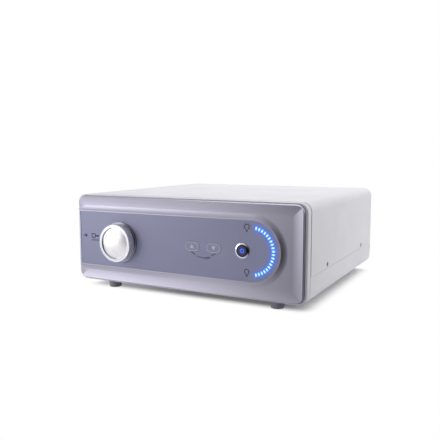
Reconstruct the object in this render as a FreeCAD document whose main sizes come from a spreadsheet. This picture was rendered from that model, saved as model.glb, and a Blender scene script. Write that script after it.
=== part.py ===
import FreeCAD, Part
import math
import os
import Sketcher

# Fiber optic illuminator, in millimetres.
# X runs right seen from the front, Y runs back from the bezel's face, Z runs up from the case's floor.
# Every piece is drawn there, and its placement then moves it so that the origin lies under the middle.

os.makedirs("parts", exist_ok=True)
doc = FreeCAD.newDocument("FiberOpticIlluminator")

# Sizes, by piece, in millimetres, and turns in degrees

SIZES = {
    # case: floor pan and cover, one smooth tube split at a side seam
    "case_width": 368,
    "case_height": 130,
    "case_depth": 336,
    "case_corner": 13,
    "sheet": 1.5,
    "seam_height": 34,
    "seam_gap": 1,
    "cover_gap": 0.4,
    "cover_setback": 1.6,
    "running_gap": 0.3,
    "close_fit": 0.05,
    "overrun": 5,
    "side_flange_low": 20,
    "side_flange_high": 50,
    "tab_height": 20,
    "tab_inset": 14,
    "vent_width": 4,
    "vent_length": 70,
    "vent_pitch": 10,
    "vent_front": 150,
    "side_screw_front": 86,
    "side_screw_back_inset": 65,
    "side_screw_height": 39.5,
    "side_screw_head_radius": 3.6,
    "side_screw_shank_radius": 1.5,
    "side_screw_length": 6,
    # feet
    "foot_height": 13,
    "foot_top_radius": 10,
    "foot_radius": 9,
    "foot_recess_radius": 5,
    "foot_recess": 8,
    "foot_inset": 49,
    "foot_front": 26,
    "foot_back_inset": 30,
    "foot_screw_head_radius": 3.8,
    "foot_screw_head": 2.4,
    "foot_screw_shank_radius": 2,
    "foot_screw_length": 10,
    # moulded front ring
    "frame_front": 2.5,
    "frame_back": 14,
    "frame_edge": 1.2,
    "frame_lip": 8,
    "frame_lip_depth": 1.5,
    # moulded bezel with its raised rim and plateau
    "bezel_inset": 2,
    "bezel_side_inset": 3.5,
    "bezel_corner": 11,
    "bezel_edge": 3,
    "bezel_wall": 3,
    "rim_rise": 2,
    "rim_width": 15,
    "bezel_skirt": 2.2,
    "plateau_rise": 3,
    "plateau_flank": 8,
    "plateau_rim": 1.2,
    "plateau_end_inset": 0.6,
    "plateau_edge": 2.2,
    "boss_radius": 4,
    "boss_inset": 17,
    "boss_step": 131,
    "boss_edge": 25,
    "bezel_screw_radius": 1.5,
    "bezel_screw_head_radius": 2.8,
    "bezel_screw_head": 1.8,
    "bezel_screw_length": 8,
    # printed sheet in the plateau
    "overlay_sink": 0.6,
    "overlay_thickness": 0.6,
    "overlay_radius": 40.2,
    "overlay_end_inset": 75,
    # arc of light bars
    "gauge_radius": 31.3,
    "gauge_pitch": 4.425,
    "gauge_bar_length": 5,
    "gauge_bar_width": 2.2,
    "gauge_bar_proud": 0.15,
    "gauge_gap": 0.1,
    "gauge_lamp_length": 3.2,
    "gauge_lamp_width": 1.6,
    "gauge_lamp_height": 0.9,
    # keys
    "key_length": 23,
    "key_height": 14,
    "key_up_step": 89,
    "key_down_step": 55.4,
    "key_proud": 0.3,
    "key_depth": 4.4,
    "key_gap": 0.25,
    "key_travel": 0.6,
    "key_switch_size": 6,
    "key_switch_body": 3.2,
    "key_switch_stem_radius": 1.75,
    # display board
    "board": 1.6,
    "display_front": 6.4,
    "display_left_reach": 107,
    "display_right_reach": 47,
    "display_margin": 17,
    "display_post_radius": 2.5,
    "display_post_inset": 7,
    "display_post_drop": 6,
    "display_screw_radius": 1.2,
    "display_screw_head_radius": 2.4,
    "display_screw_head": 1.4,
    # front switch
    "power_step": 12.4,
    "power_ring_radius": 10.15,
    "power_ring_proud": 2.2,
    "power_ring_slope": 1.4,
    "power_button_radius": 6.6,
    "power_button_gap": 0.3,
    "power_button_sink": 0.5,
    "power_button_length": 9,
    "power_barrel_radius": 8,
    "power_barrel_length": 16,
    "power_nut_radius": 10,
    "power_nut": 3,
    "power_body_length": 12,
    "power_pin_radius": 0.9,
    "power_pin_length": 6,
    # front subpanel
    "subpanel_inset": 3.5,
    "subpanel_screw_inset": 44,
    "subpanel_screw_height": 13.5,
    "window_left_inset": 28,
    "window_right_inset": 16,
    "window_edge_inset": 18,
    # light-guide socket
    "port_inset": 82,
    "port_drop": 3,
    "flange_radius": 29.6,
    "flange": 2,
    "pilot_radius": 24,
    "pilot": 2.4,
    "barrel_back": 21,
    "sleeve_radius": 12,
    "sleeve_back": 34,
    "guide_radius": 7.5,
    "guide_front": 2,
    "guide_length": 28,
    "entry_radius": 9,
    "focus_radius": 6,
    "barrel_gap": 0.3,
    "ring_radius": 29,
    "ring": 4,
    # clamping jaws
    "jaw_open": 8.2,
    "jaw_length": 12.6,
    "jaw_width": 7.6,
    "jaw_depth": 7.8,
    "jaw_gap": 0.2,
    "jaw_pin_radius": 1.5,
    "jaw_pin_reach": 6.8,
    # knurled collar with three cam slots
    "collar_radius": 27,
    "collar_face": 17,
    "collar_mouth_radius": 22.8,
    "collar_web": 2.8,
    "collar_hole_radius": 8.4,
    "collar_bevel": 0.8,
    "knurl_depth": 0.7,
    "knurl_margin": 1.6,
    "cam_turn": 60,
    "cam_rate": 3.8,
    "cam_gap": 0.15,
    # dust cap
    "cap_radius": 22.5,
    "cap_edge_sink": 1.8,
    "cap_dome": 3.8,
    "cap_wall": 2,
    "cap_gap": 0.3,
    "cap_groove_depth": 0.9,
    "cap_groove_width": 1.3,
    "cap_seal_radius": 0.5,
    # heat filter
    "filter_radius": 12.5,
    "filter_thickness": 3,
    "filter_front": 39,
    "filter_plate": 3,
    "filter_plate_width": 44,
    "filter_plate_over": 20,
    "filter_foot": 14,
    "filter_gap": 0.1,
    # dimmer wheel and its motor
    "wheel_radius": 38,
    "wheel_thickness": 1.4,
    "wheel_front": 46,
    "wheel_offset": 30,
    "wheel_hole_radius": 7,
    "wheel_hub_radius": 7,
    "wheel_hub": 2.6,
    "wheel_shaft_radius": 2,
    "wheel_shaft_length": 16,
    "wheel_turn": 30,
    "motor_radius": 17.5,
    "motor_length": 21,
    "motor_boss_radius": 5,
    "motor_boss": 1.5,
    "motor_plate": 2,
    "motor_plate_front": 53,
    "motor_plate_side": 50,
    "motor_plate_over": 22,
    "motor_foot": 24,
    "motor_fit": 0.05,
    # lamp module
    "lamp_front": 82,
    "lamp_length": 52,
    "lamp_radius": 13,
    "lamp_fit": 0.1,
    "lamp_window_radius": 9,
    "lamp_window_depth": 2,
    "lamp_terminal_radius": 3,
    "lamp_terminal": 8,
    "sink_width": 60,
    "sink_height": 60,
    "sink_core": 34,
    "sink_depth": 20,
    "sink_front": 86,
    "sink_back": 110,
    "fin": 1.6,
    "fin_pitch": 5.84,
    "lamp_wall": 2,
    "lamp_wall_over": 16,
    "lamp_base_front": 84,
    "lamp_base_depth": 50,
    "lamp_screw_radius": 1.5,
    "lamp_screw_head_radius": 2.8,
    "lamp_screw_head": 1.8,
    "lamp_screw_length": 8,
    # lamp ballast
    "ballast_inset": 124,
    "ballast_width": 98,
    "ballast_front": 60,
    "ballast_depth": 112,
    "ballast_height": 62,
    "ballast_flange": 8,
    "ballast_rib": 3,
    "ballast_rib_height": 6,
    "ballast_rib_pitch": 13,
    # power supply
    "supply_inset": 120,
    "supply_width": 104,
    "supply_front": 190,
    "supply_depth": 100,
    "supply_height": 46,
    "supply_wall": 1.2,
    "supply_vent": 4,
    "supply_vent_pitch": 10,
    "supply_coil_side": 18,
    "supply_coil_size": 34,
    "supply_coil_height": 30,
    "supply_can_radius": 9,
    "supply_can_height": 32,
    "supply_can_side": 70,
    "supply_post": 5,
    # main board
    "main_step": 100,
    "main_width": 84,
    "main_front": 196,
    "main_depth": 104,
    "main_post": 8,
    "main_post_radius": 2.8,
    "main_post_inset": 5,
    "chip_size": 14,
    "chip": 2,
    "socket_length": 24,
    "socket_width": 6,
    "socket_height": 9,
    # fan
    "fan_size": 80,
    "fan_depth": 25,
    "fan_bore_radius": 38,
    "fan_screw_spread": 71.5,
    "fan_hole_radius": 2.2,
    "fan_screw_radius": 2,
    "fan_screw_head_radius": 3.8,
    "fan_screw_head": 2.4,
    "fan_hub_radius": 17,
    "fan_hub_depth": 18,
    "fan_blade_tip": 36.8,
    "fan_blade": 1.6,
    "fan_blade_turn": 40,
    "fan_arm": 5,
    "fan_arm_depth": 2,
    "fan_shaft_radius": 1.5,
    "fan_shaft_fit": 0.05,
    "fan_shaft_length": 8,
    "guard_wire": 1,
    "guard_lug_radius": 4,
    # rear panel, set in from the case's back edge
    "rear_recess": 8,
    "rear_gap": 0.3,
    "rear_screw_inset": 24,
    "rear_screw_height": 11,
    "rear_screw_radius": 1.5,
    "rear_screw_head_radius": 2.8,
    "rear_screw_head": 1.8,
    "rear_screw_length": 5,
    # mains inlet with its fuse drawer
    "inlet_inset": 66,
    "inlet_height": 40,
    "inlet_flange_width": 50,
    "inlet_flange_height": 38,
    "inlet_flange": 2.4,
    "inlet_body_width": 30,
    "inlet_body_height": 32,
    "inlet_body_depth": 26,
    "inlet_recess_width": 24,
    "inlet_recess_height": 16.6,
    "inlet_recess_low": 13,
    "inlet_recess_depth": 20,
    "inlet_pin_length": 13,
    "inlet_pin_width": 2,
    "inlet_pin_height": 4,
    "inlet_pin_spread": 7,
    "inlet_screw_spread": 40,
    "inlet_screw_radius": 1.5,
    "inlet_screw_head_radius": 2.8,
    "inlet_screw_head": 1.8,
    "inlet_screw_length": 7,
    "drawer_width": 24,
    "drawer_height": 9,
    "drawer_low": 6,
    "drawer_depth": 23,
    "drawer_gap": 0.2,
    "drawer_wall": 1.2,
    "fuse_radius": 2.5,
    "fuse_length": 20,
    "fuse_spread": 5,
    # earth stud
    "stud_step": 60,
    "stud_height": 30,
    "stud_radius": 3,
    "stud_reach": 7.6,
    "stud_nut_radius": 5.5,
    "stud_nut": 3,
    "stud_flange": 2,
    "stud_tail": 8,
}

sheet = doc.addObject("Spreadsheet::Sheet", "Sizes")
for row, (word, number) in enumerate(SIZES.items(), start=1):
    sheet.set(f"A{row}", word)
    sheet.set(f"B{row}", str(number))
    sheet.setAlias(f"B{row}", word)
doc.recompute()


class Size:
    """A length from the sheet, or a sum of such lengths: its expression and what it comes to."""

    def __init__(self, text, value):
        self.text = text
        self.value = value

    def __add__(self, other):
        other = as_size(other)
        return Size(f"({self.text} + {other.text})", self.value + other.value)

    def __sub__(self, other):
        other = as_size(other)
        return Size(f"({self.text} - {other.text})", self.value - other.value)

    def __rsub__(self, other):
        return as_size(other) - self

    def __mul__(self, other):
        other = as_size(other)
        return Size(f"({self.text} * {other.text})", self.value * other.value)

    def __truediv__(self, other):
        other = as_size(other)
        return Size(f"({self.text} / {other.text})", self.value / other.value)

    def __neg__(self):
        return Size(f"(0 - {self.text})", -self.value)

    __radd__ = __add__
    __rmul__ = __mul__


def as_size(number):
    return number if isinstance(number, Size) else Size(repr(float(number)), float(number))


class Sheet:
    def __getattr__(self, word):
        return Size(f"Sizes.{word}", float(getattr(sheet, word)))


def cosine(turn):
    return Size(f"cos({turn.text} * 1 deg)", math.cos(math.radians(turn.value)))


def sine(turn):
    return Size(f"sin({turn.text} * 1 deg)", math.sin(math.radians(turn.value)))


S = Sheet()
ZERO = as_size(0)
FULL_TURN = 360


def spread(count):
    """The turn from the first to the last of so many even places round a circle."""
    return as_size(FULL_TURN - FULL_TURN / count)


# Helpers: every length and place is bound to the sheet through its expression

pieces = []
places = {}
AXIS_TURN = {
    "x": FreeCAD.Rotation(FreeCAD.Vector(0, 1, 0), 90),
    "y": FreeCAD.Rotation(FreeCAD.Vector(1, 0, 0), -90),
    "z": FreeCAD.Rotation(),
}
ALONG = {"x": FreeCAD.Vector(1, 0, 0), "y": FreeCAD.Vector(0, 1, 0), "z": FreeCAD.Vector(0, 0, 1)}
SHIFT = (
    ZERO,
    (S.collar_face + S.cap_dome - S.cap_edge_sink) / 2 - S.case_depth / 2,
    S.foot_height,
)


def bind(thing, **sizes):
    for name, size in sizes.items():
        size = as_size(size)
        setattr(thing, name, size.value)
        thing.setExpression(name, size.text)


def place(thing, at):
    at = [as_size(size) for size in at]
    places[thing.Name] = at
    for letter, size in zip("xyz", at):
        thing.setExpression(f"Placement.Base.{letter}", size.text)
    return thing


def box(name, low, high):
    low = [as_size(size) for size in low]
    high = [as_size(size) for size in high]
    solid = doc.addObject("Part::Box", name)
    bind(solid, Length=high[0] - low[0], Width=high[1] - low[1], Height=high[2] - low[2])
    return place(solid, low)


def rod(name, radius, start, length, axis="y"):
    solid = doc.addObject("Part::Cylinder", name)
    bind(solid, Radius=radius, Height=length)
    solid.Placement = FreeCAD.Placement(FreeCAD.Vector(), AXIS_TURN[axis])
    return place(solid, start)


def cone(name, start_radius, end_radius, start, length, axis="y"):
    solid = doc.addObject("Part::Cone", name)
    bind(solid, Radius1=start_radius, Radius2=end_radius, Height=length)
    solid.Placement = FreeCAD.Placement(FreeCAD.Vector(), AXIS_TURN[axis])
    return place(solid, start)


def ring(name, radius, wire, centre, axis="y"):
    solid = doc.addObject("Part::Torus", name)
    bind(solid, Radius1=radius, Radius2=wire)
    solid.Placement = FreeCAD.Placement(FreeCAD.Vector(), AXIS_TURN[axis])
    return place(solid, centre)


def fuse(name, solids):
    joined = doc.addObject("Part::MultiFuse", name)
    joined.Shapes = solids
    return joined


def cut(name, base, tools):
    result = doc.addObject("Part::Cut", name)
    result.Base = base
    result.Tool = tools[0] if len(tools) == 1 else fuse(f"{name}_tools", tools)
    return result


def common(name, first, second):
    result = doc.addObject("Part::Common", name)
    result.Base = first
    result.Tool = second
    return result


def turned(name, solid, axis, centre, degrees):
    """A solid turned about an axis through a centre: a holder carries the turn."""
    holder = doc.addObject("Part::Compound", name)
    holder.Links = [solid]
    holder.Placement = FreeCAD.Placement(FreeCAD.Vector(), FreeCAD.Rotation(ALONG[axis], degrees))
    return place(holder, centre)


def piece(label, solids):
    """Names a finished piece and moves it from the drawing's origin to the part's."""
    if len(solids) == 1:
        whole = solids[0]
    else:
        whole = doc.addObject("Part::Compound", label)
        whole.Links = solids
    whole.Label = label
    place(whole, [here + shift for here, shift in zip(places.get(whole.Name, [ZERO] * 3), SHIFT)])
    pieces.append(whole)
    return whole


class Body:
    """A body drawn in sketches on its own origin planes, each feature laid on the last."""

    def __init__(self, label, at=(0, 0, 0)):
        self.body = doc.addObject("PartDesign::Body", label)
        self.body.Label = label
        place(self.body, at)
        self.count = 0

    def name(self, kind):
        self.count += 1
        return f"{self.body.Name}_{kind}_{self.count}"

    def origin(self, role):
        return [part for part in self.body.Origin.OriginFeatures if part.Role == role][0]

    def sketch(self, plane, at=0):
        """XZ sketches face the front, XY the top, YZ the right. at is the plane's place on its axis."""
        drawing = self.body.newObject("Sketcher::SketchObject", self.name("sketch"))
        drawing.AttachmentSupport = (self.origin(f"{plane}_Plane"), [""])
        drawing.MapMode = "FlatFace"
        height = as_size(at)
        height = -height if plane == "XZ" else height
        drawing.setExpression("AttachmentOffset.Base.z", height.text)
        return drawing

    def pad(self, drawing, length, towards=1):
        feature = self.body.newObject("PartDesign::Pad", self.name("pad"))
        feature.Profile = drawing
        bind(feature, Length=length)
        feature.Reversed = towards < 0
        return feature

    def pocket(self, drawing, length, towards=1):
        feature = self.body.newObject("PartDesign::Pocket", self.name("pocket"))
        feature.Profile = drawing
        bind(feature, Length=length)
        feature.Reversed = towards < 0
        return feature

    def spin(self, drawing, axis="V_Axis"):
        feature = self.body.newObject("PartDesign::Revolution", self.name("revolution"))
        feature.Profile = drawing
        feature.ReferenceAxis = (drawing, [axis])
        feature.Angle = FULL_TURN
        return feature

    def polar(self, feature, count, turn, axis="Y_Axis"):
        pattern = self.body.newObject("PartDesign::PolarPattern", self.name("pattern"))
        pattern.Originals = [feature]
        pattern.Axis = (self.origin(axis), [""])
        pattern.Occurrences = count
        bind(pattern, Angle=turn)
        self.body.Tip = pattern
        return pattern

    def linear(self, feature, count, length, axis="X_Axis"):
        pattern = self.body.newObject("PartDesign::LinearPattern", self.name("pattern"))
        pattern.Originals = [feature]
        pattern.Direction = (self.origin(axis), [""])
        pattern.Occurrences = count
        bind(pattern, Length=length)
        self.body.Tip = pattern
        return pattern

    def round(self, radius, wanted, kind="PartDesign::Fillet"):
        """Rounds or bevels the edges for which wanted(middle, direction) is true."""
        doc.recompute()
        base = self.body.Tip
        names = []
        for number, edge in enumerate(base.Shape.Edges, start=1):
            low, high = edge.ParameterRange
            middle = edge.valueAt((low + high) / 2)
            direction = edge.tangentAt((low + high) / 2)
            if wanted(middle, direction):
                names.append(f"Edge{number}")
        feature = self.body.newObject(kind, self.name("edge"))
        feature.Base = (base, names)
        if kind.endswith("Fillet"):
            bind(feature, Radius=radius)
        else:
            bind(feature, Size=radius)
        return feature

    def done(self):
        at = places[self.body.Name]
        place(self.body, [here + shift for here, shift in zip(at, SHIFT)])
        pieces.append(self.body)
        return self.body


def pin_point(drawing, geometry, end, across, up):
    """Holds one point of a sketch at a named place across and up from its origin."""
    for kind, size in (("DistanceX", as_size(across)), ("DistanceY", as_size(up))):
        number = drawing.addConstraint(Sketcher.Constraint(kind, -1, 1, geometry, end, size.value))
        drawing.setExpression(f"Constraints[{number}]", size.text)


def polygon(drawing, points):
    """A closed outline of straight lines through named points."""
    spots = [FreeCAD.Vector(as_size(across).value, as_size(up).value, 0) for across, up in points]
    first = drawing.GeometryCount
    for number, spot in enumerate(spots):
        drawing.addGeometry(Part.LineSegment(spot, spots[(number + 1) % len(spots)]), False)
    for number in range(len(spots)):
        following = first + (number + 1) % len(spots)
        drawing.addConstraint(Sketcher.Constraint("Coincident", first + number, 2, following, 1))
    for number, (across, up) in enumerate(points):
        pin_point(drawing, first + number, 1, across, up)
    return drawing


def rectangle(drawing, left, low, right, high):
    return polygon(drawing, [(left, low), (right, low), (right, high), (left, high)])


def circle(drawing, across, up, radius):
    across = as_size(across)
    up = as_size(up)
    radius = as_size(radius)
    centre = FreeCAD.Vector(across.value, up.value, 0)
    normal = FreeCAD.Vector(0, 0, 1)
    number = drawing.addGeometry(Part.Circle(centre, normal, radius.value), False)
    pin_point(drawing, number, 3, across, up)
    held = drawing.addConstraint(Sketcher.Constraint("Radius", number, radius.value))
    drawing.setExpression(f"Constraints[{held}]", radius.text)
    return drawing


def outline(drawing, points, arcs):
    """A closed outline through named points. arcs gives the edges that are arcs, by the number of the
    point they leave: (centre across, centre up, 1 for anticlockwise or -1)."""
    spots = [(as_size(across), as_size(up)) for across, up in points]
    ends = []
    for number, (across, up) in enumerate(spots):
        next_across, next_up = spots[(number + 1) % len(spots)]
        start = FreeCAD.Vector(across.value, up.value, 0)
        finish = FreeCAD.Vector(next_across.value, next_up.value, 0)
        if number not in arcs:
            ends.append((drawing.addGeometry(Part.LineSegment(start, finish), False), 1, 2))
            continue
        centre_across, centre_up, turn = arcs[number]
        centre = FreeCAD.Vector(as_size(centre_across).value, as_size(centre_up).value, 0)
        whole = Part.Circle(centre, FreeCAD.Vector(0, 0, 1), (start - centre).Length)
        first, last = (start, finish) if turn > 0 else (finish, start)
        begin = math.atan2(first.y - centre.y, first.x - centre.x)
        end = math.atan2(last.y - centre.y, last.x - centre.x)
        if end <= begin:
            end += 2 * math.pi
        arc = drawing.addGeometry(Part.ArcOfCircle(whole, begin, end), False)
        ends.append((arc, 1, 2) if turn > 0 else (arc, 2, 1))
    for number, (geometry, start, finish) in enumerate(ends):
        following = ends[(number + 1) % len(ends)]
        drawing.addConstraint(
            Sketcher.Constraint("Coincident", geometry, finish, following[0], following[1])
        )
        pin_point(drawing, geometry, start, *spots[number])
    for number, (centre_across, centre_up, turn) in arcs.items():
        size = as_size(centre_across)
        held = Sketcher.Constraint("DistanceX", -1, 1, ends[number][0], 3, size.value)
        drawing.setExpression(f"Constraints[{drawing.addConstraint(held)}]", size.text)
    return drawing


def stadium(drawing, left, right, up, radius):
    """A band with round ends, whose end centres lie at left and right."""
    left, right, up, radius = (as_size(size) for size in (left, right, up, radius))
    points = [(left, up - radius), (right, up - radius), (right, up + radius), (left, up + radius)]
    return outline(drawing, points, {1: (right, up, 1), 3: (left, up, 1)})


def half_stadium(drawing, left, right, up, radius):
    """A band with a square left end and a round right one."""
    left, right, up, radius = (as_size(size) for size in (left, right, up, radius))
    points = [(left, up - radius), (right, up - radius), (right, up + radius), (left, up + radius)]
    return outline(drawing, points, {1: (right, up, 1)})


def plate(drawing, left, low, right, high, corner):
    """A rectangle with round corners."""
    left, low, right, high, corner = (as_size(size) for size in (left, low, right, high, corner))
    points = [
        (left + corner, low),
        (right - corner, low),
        (right, low + corner),
        (right, high - corner),
        (right - corner, high),
        (left + corner, high),
        (left, high - corner),
        (left, low + corner),
    ]
    arcs = {
        1: (right - corner, low + corner, 1),
        3: (right - corner, high - corner, 1),
        5: (left + corner, high - corner, 1),
        7: (left + corner, low + corner, 1),
    }
    return outline(drawing, points, arcs)


def tray(drawing, half, bottom, rim, corner):
    """A band across the part, square at its rim and with round corners at its bottom."""
    half, bottom, rim, corner = (as_size(size) for size in (half, bottom, rim, corner))
    way = 1 if rim.value > bottom.value else -1
    bend = bottom + corner * way
    points = [
        (-half, rim),
        (-half, bend),
        (-half + corner, bottom),
        (half - corner, bottom),
        (half, bend),
        (half, rim),
    ]
    return outline(drawing, points, {1: (corner - half, bend, way), 3: (half - corner, bend, way)})


def screw(name, head_radius, head, shank_radius, length, at, axis, towards):
    """A pan screw: at is where its head seats, and towards is the way its shank points."""
    step = {"x": (1, 0, 0), "y": (0, 1, 0), "z": (0, 0, 1)}[axis]
    if towards > 0:
        head_at = [here - head * unit for here, unit in zip(at, step)]
        shank_at = list(at)
    else:
        head_at = list(at)
        shank_at = [here - length * unit for here, unit in zip(at, step)]
    top = rod(f"{name}_head", head_radius, head_at, head, axis)
    shank = rod(f"{name}_shank", shank_radius, shank_at, length, axis)
    return fuse(name, [top, shank])


# Places that several pieces share

half_width = S.case_width / 2
inner_half = half_width - S.sheet
case_middle = S.case_height / 2
bezel_half = half_width - S.bezel_side_inset
bezel_low = S.bezel_inset
bezel_top = S.case_height - S.bezel_inset
rim_face = -S.rim_rise
port_side = S.port_inset - half_width
port_height = case_middle - S.port_drop
overlay_centre = half_width - S.overlay_end_inset
key_up_side = overlay_centre - S.key_up_step
key_down_side = overlay_centre - S.key_down_step
power_side = overlay_centre - S.power_step
pan_front = S.frame_back + S.seam_gap
floor_top = S.sheet
plateau_face = -S.plateau_rise
overlay_face = plateau_face + S.overlay_sink
overlay_back = overlay_face + S.overlay_thickness
flange_face = overlay_face - S.flange
pilot_face = flange_face - S.pilot
subpanel_front = S.frame_back
subpanel_back = subpanel_front + S.sheet
rear_front = S.case_depth - S.rear_recess - S.sheet
rear_face = rear_front + S.sheet
wheel_side = port_side + S.wheel_offset
port = (port_side, 0, port_height)
fan_height = case_middle
inlet_side = half_width - S.inlet_inset
stud_side = inlet_side - S.stud_step

# Base pan: folded steel floor with low sides, joggled side flanges, front and rear tabs

pan = Body("base_pan")
pan_depth = S.case_depth - pan_front
pan.pad(
    tray(pan.sketch("XZ", pan_front), half_width, 0, S.seam_height, S.case_corner), pan_depth, -1
)
hollow = tray(
    pan.sketch("XZ", pan_front),
    inner_half,
    S.sheet,
    S.seam_height + S.overrun,
    S.case_corner - S.sheet,
)
pan.pocket(hollow, pan_depth + S.overrun)
for side in (-1, 1):
    near = side * (inner_half - S.sheet)
    far = side * inner_half
    low, high = (near, far) if side > 0 else (far, near)
    pan.pad(
        rectangle(pan.sketch("XZ", subpanel_back), low, S.side_flange_low, high, S.side_flange_high),
        rear_front - subpanel_back,
        -1,
    )
tab_half = half_width - S.tab_inset
for front, back in ((subpanel_back, subpanel_back + S.sheet), (rear_front - S.sheet, rear_front)):
    tab = rectangle(pan.sketch("XZ", front), -tab_half, 0, tab_half, S.sheet + S.tab_height)
    pan.pad(tab, back - front, -1)
rear_screw_side = half_width - S.rear_screw_inset
screw_up = floor_top + S.rear_screw_height
rear_screw_spots = [(way * rear_screw_side, screw_up) for way in (-1, 0, 1)]
subpanel_screw_side = half_width - S.subpanel_screw_inset
subpanel_screw_up = floor_top + S.subpanel_screw_height
subpanel_screw_spots = [(way * subpanel_screw_side, subpanel_screw_up) for way in (-1, 0, 1)]
for front, spots in ((subpanel_back, subpanel_screw_spots), (rear_front - S.sheet, rear_screw_spots)):
    holes = pan.sketch("XZ", front)
    for across, up in spots:
        circle(holes, across, up, S.rear_screw_radius + S.close_fit)
    pan.pocket(holes, S.sheet)
side_screw_back = S.case_depth - S.side_screw_back_inset
side_screw_spots = [
    (side, along) for side in (-1, 1) for along in (S.side_screw_front, side_screw_back)
]
holes = pan.sketch("YZ", -half_width)
for along in (S.side_screw_front, side_screw_back):
    circle(holes, along, S.side_screw_height, S.side_screw_shank_radius + S.close_fit)
pan.pocket(holes, S.case_width, -1)
foot_side = half_width - S.foot_inset
foot_back = S.case_depth - S.foot_back_inset
foot_spots = [
    (side * foot_side, along) for side in (-1, 1) for along in (S.foot_front, foot_back)
]
holes = pan.sketch("XY", 0)
for across, along in foot_spots:
    circle(holes, across, along, S.foot_screw_shank_radius + S.close_fit)
pan.pocket(holes, S.sheet, -1)
slot_left = port_side - S.vent_pitch * 3
vent_slot = pan.sketch("XY", 0)
rectangle(
    vent_slot, slot_left, S.vent_front, slot_left + S.vent_width, S.vent_front + S.vent_length
)
slots = pan.pocket(vent_slot, S.sheet, -1)
pan.linear(slots, 7, S.vent_pitch * 6)
pan.done()

# Top cover: folded steel, with a round seat for each side screw

cover = Body("top_cover")
cover_low = S.seam_height + S.cover_gap
cover_front = pan_front + S.cover_setback
cover.pad(
    tray(cover.sketch("XZ", cover_front), half_width, S.case_height, cover_low, S.case_corner),
    S.case_depth - cover_front,
    -1,
)
hollow = tray(
    cover.sketch("XZ", pan_front),
    inner_half,
    S.case_height - S.sheet,
    cover_low - S.overrun,
    S.case_corner - S.sheet,
)
cover.pocket(hollow, pan_depth + S.overrun)
holes = cover.sketch("YZ", -half_width)
for along in (S.side_screw_front, side_screw_back):
    circle(holes, along, S.side_screw_height, S.side_screw_head_radius)
cover.pocket(holes, S.case_width, -1)
cover.done()

# Cover screws: flush heads, through the cover's sides into the pan's flanges

screws = []
for number, (side, along) in enumerate(side_screw_spots, start=1):
    shank_low = inner_half - S.side_screw_length if side > 0 else -inner_half
    head = rod(
        f"cover_screw_{number}_head",
        S.side_screw_head_radius - S.running_gap,
        (side * half_width if side < 0 else inner_half, along, S.side_screw_height),
        S.sheet,
        "x",
    )
    shank = rod(
        f"cover_screw_{number}_shank",
        S.side_screw_shank_radius,
        (shank_low, along, S.side_screw_height),
        S.side_screw_length,
        "x",
    )
    screws.append(fuse(f"cover_screw_{number}", [head, shank]))
piece("cover_screws", screws)

# Rubber feet, turned, with a recess for the screw

feet = []
foot_screws = []
for number, (across, along) in enumerate(foot_spots, start=1):
    pad = cone(
        f"foot_{number}_pad",
        S.foot_radius,
        S.foot_top_radius,
        (across, along, -S.foot_height),
        S.foot_height,
        "z",
    )
    recess = rod(
        f"foot_{number}_recess",
        S.foot_recess_radius,
        (across, along, -S.foot_height - S.overrun),
        S.foot_recess + S.overrun,
        "z",
    )
    bore = rod(
        f"foot_{number}_bore",
        S.foot_screw_shank_radius + S.close_fit,
        (across, along, -S.foot_height),
        S.foot_height + S.overrun,
        "z",
    )
    feet.append(cut(f"foot_{number}", pad, [recess, bore]))
    foot_screws.append(
        screw(
            f"foot_screw_{number}",
            S.foot_screw_head_radius,
            S.foot_screw_head,
            S.foot_screw_shank_radius,
            S.foot_screw_length,
            (across, along, S.foot_recess - S.foot_height),
            "z",
            1,
        )
    )
piece("rubber_feet", feet)
piece("foot_screws", foot_screws)

# Front frame: white moulded ring with a lip at its back that the bezel seats on

frame = Body("front_frame")
frame_depth = S.frame_back - S.frame_front
frame.pad(
    plate(
        frame.sketch("XZ", S.frame_front), -half_width, 0, half_width, S.case_height, S.case_corner
    ),
    frame_depth,
    -1,
)
frame.round(S.frame_edge, lambda middle, line: abs(middle.y - S.frame_front.value) < 0.001)
frame.pocket(
    plate(
        frame.sketch("XZ", S.frame_front),
        -bezel_half - S.running_gap,
        bezel_low - S.running_gap,
        bezel_half + S.running_gap,
        bezel_top + S.running_gap,
        S.bezel_corner + S.running_gap,
    ),
    frame_depth - S.frame_lip_depth,
)
frame.pocket(
    plate(
        frame.sketch("XZ", S.frame_front),
        S.frame_lip - bezel_half,
        bezel_low + S.frame_lip,
        bezel_half - S.frame_lip,
        bezel_top - S.frame_lip,
        S.bezel_corner,
    ),
    frame_depth + S.overrun,
)
frame.done()

# Front bezel: moulded shell, dished between its rim and the hollow flank of a D-shaped plateau

bezel_back = S.frame_back - S.frame_lip_depth
shell = Body("bezel_shell")
shell.pad(
    plate(shell.sketch("XZ", rim_face), -bezel_half, bezel_low, bezel_half, bezel_top, S.bezel_corner),
    bezel_back - rim_face,
    -1,
)
shell.round(S.bezel_edge, lambda middle, line: abs(middle.y - rim_face.value) < 0.001)
shell.pocket(
    plate(
        shell.sketch("XZ", S.bezel_wall),
        S.bezel_skirt - bezel_half,
        bezel_low + S.bezel_skirt,
        bezel_half - S.bezel_skirt,
        bezel_top - S.bezel_skirt,
        S.bezel_corner - S.bezel_skirt,
    ),
    bezel_back,
)
boss_side = bezel_half - S.boss_inset
boss_middle = overlay_centre - S.boss_step
boss_spread = case_middle - S.boss_edge
boss_spots = [
    (across, case_middle + rise * boss_spread)
    for across in (-boss_side, boss_middle, boss_side)
    for rise in (-1, 1)
]
bosses = shell.sketch("XZ", S.bezel_wall)
for across, up in boss_spots:
    circle(bosses, across, up, S.boss_radius)
shell.pad(bosses, subpanel_front - S.bezel_wall, -1)
holes = shell.sketch("XZ", subpanel_front)
for across, up in boss_spots:
    circle(holes, across, up, S.bezel_screw_radius + S.close_fit)
shell.pocket(holes, S.bezel_screw_length, -1)

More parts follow.
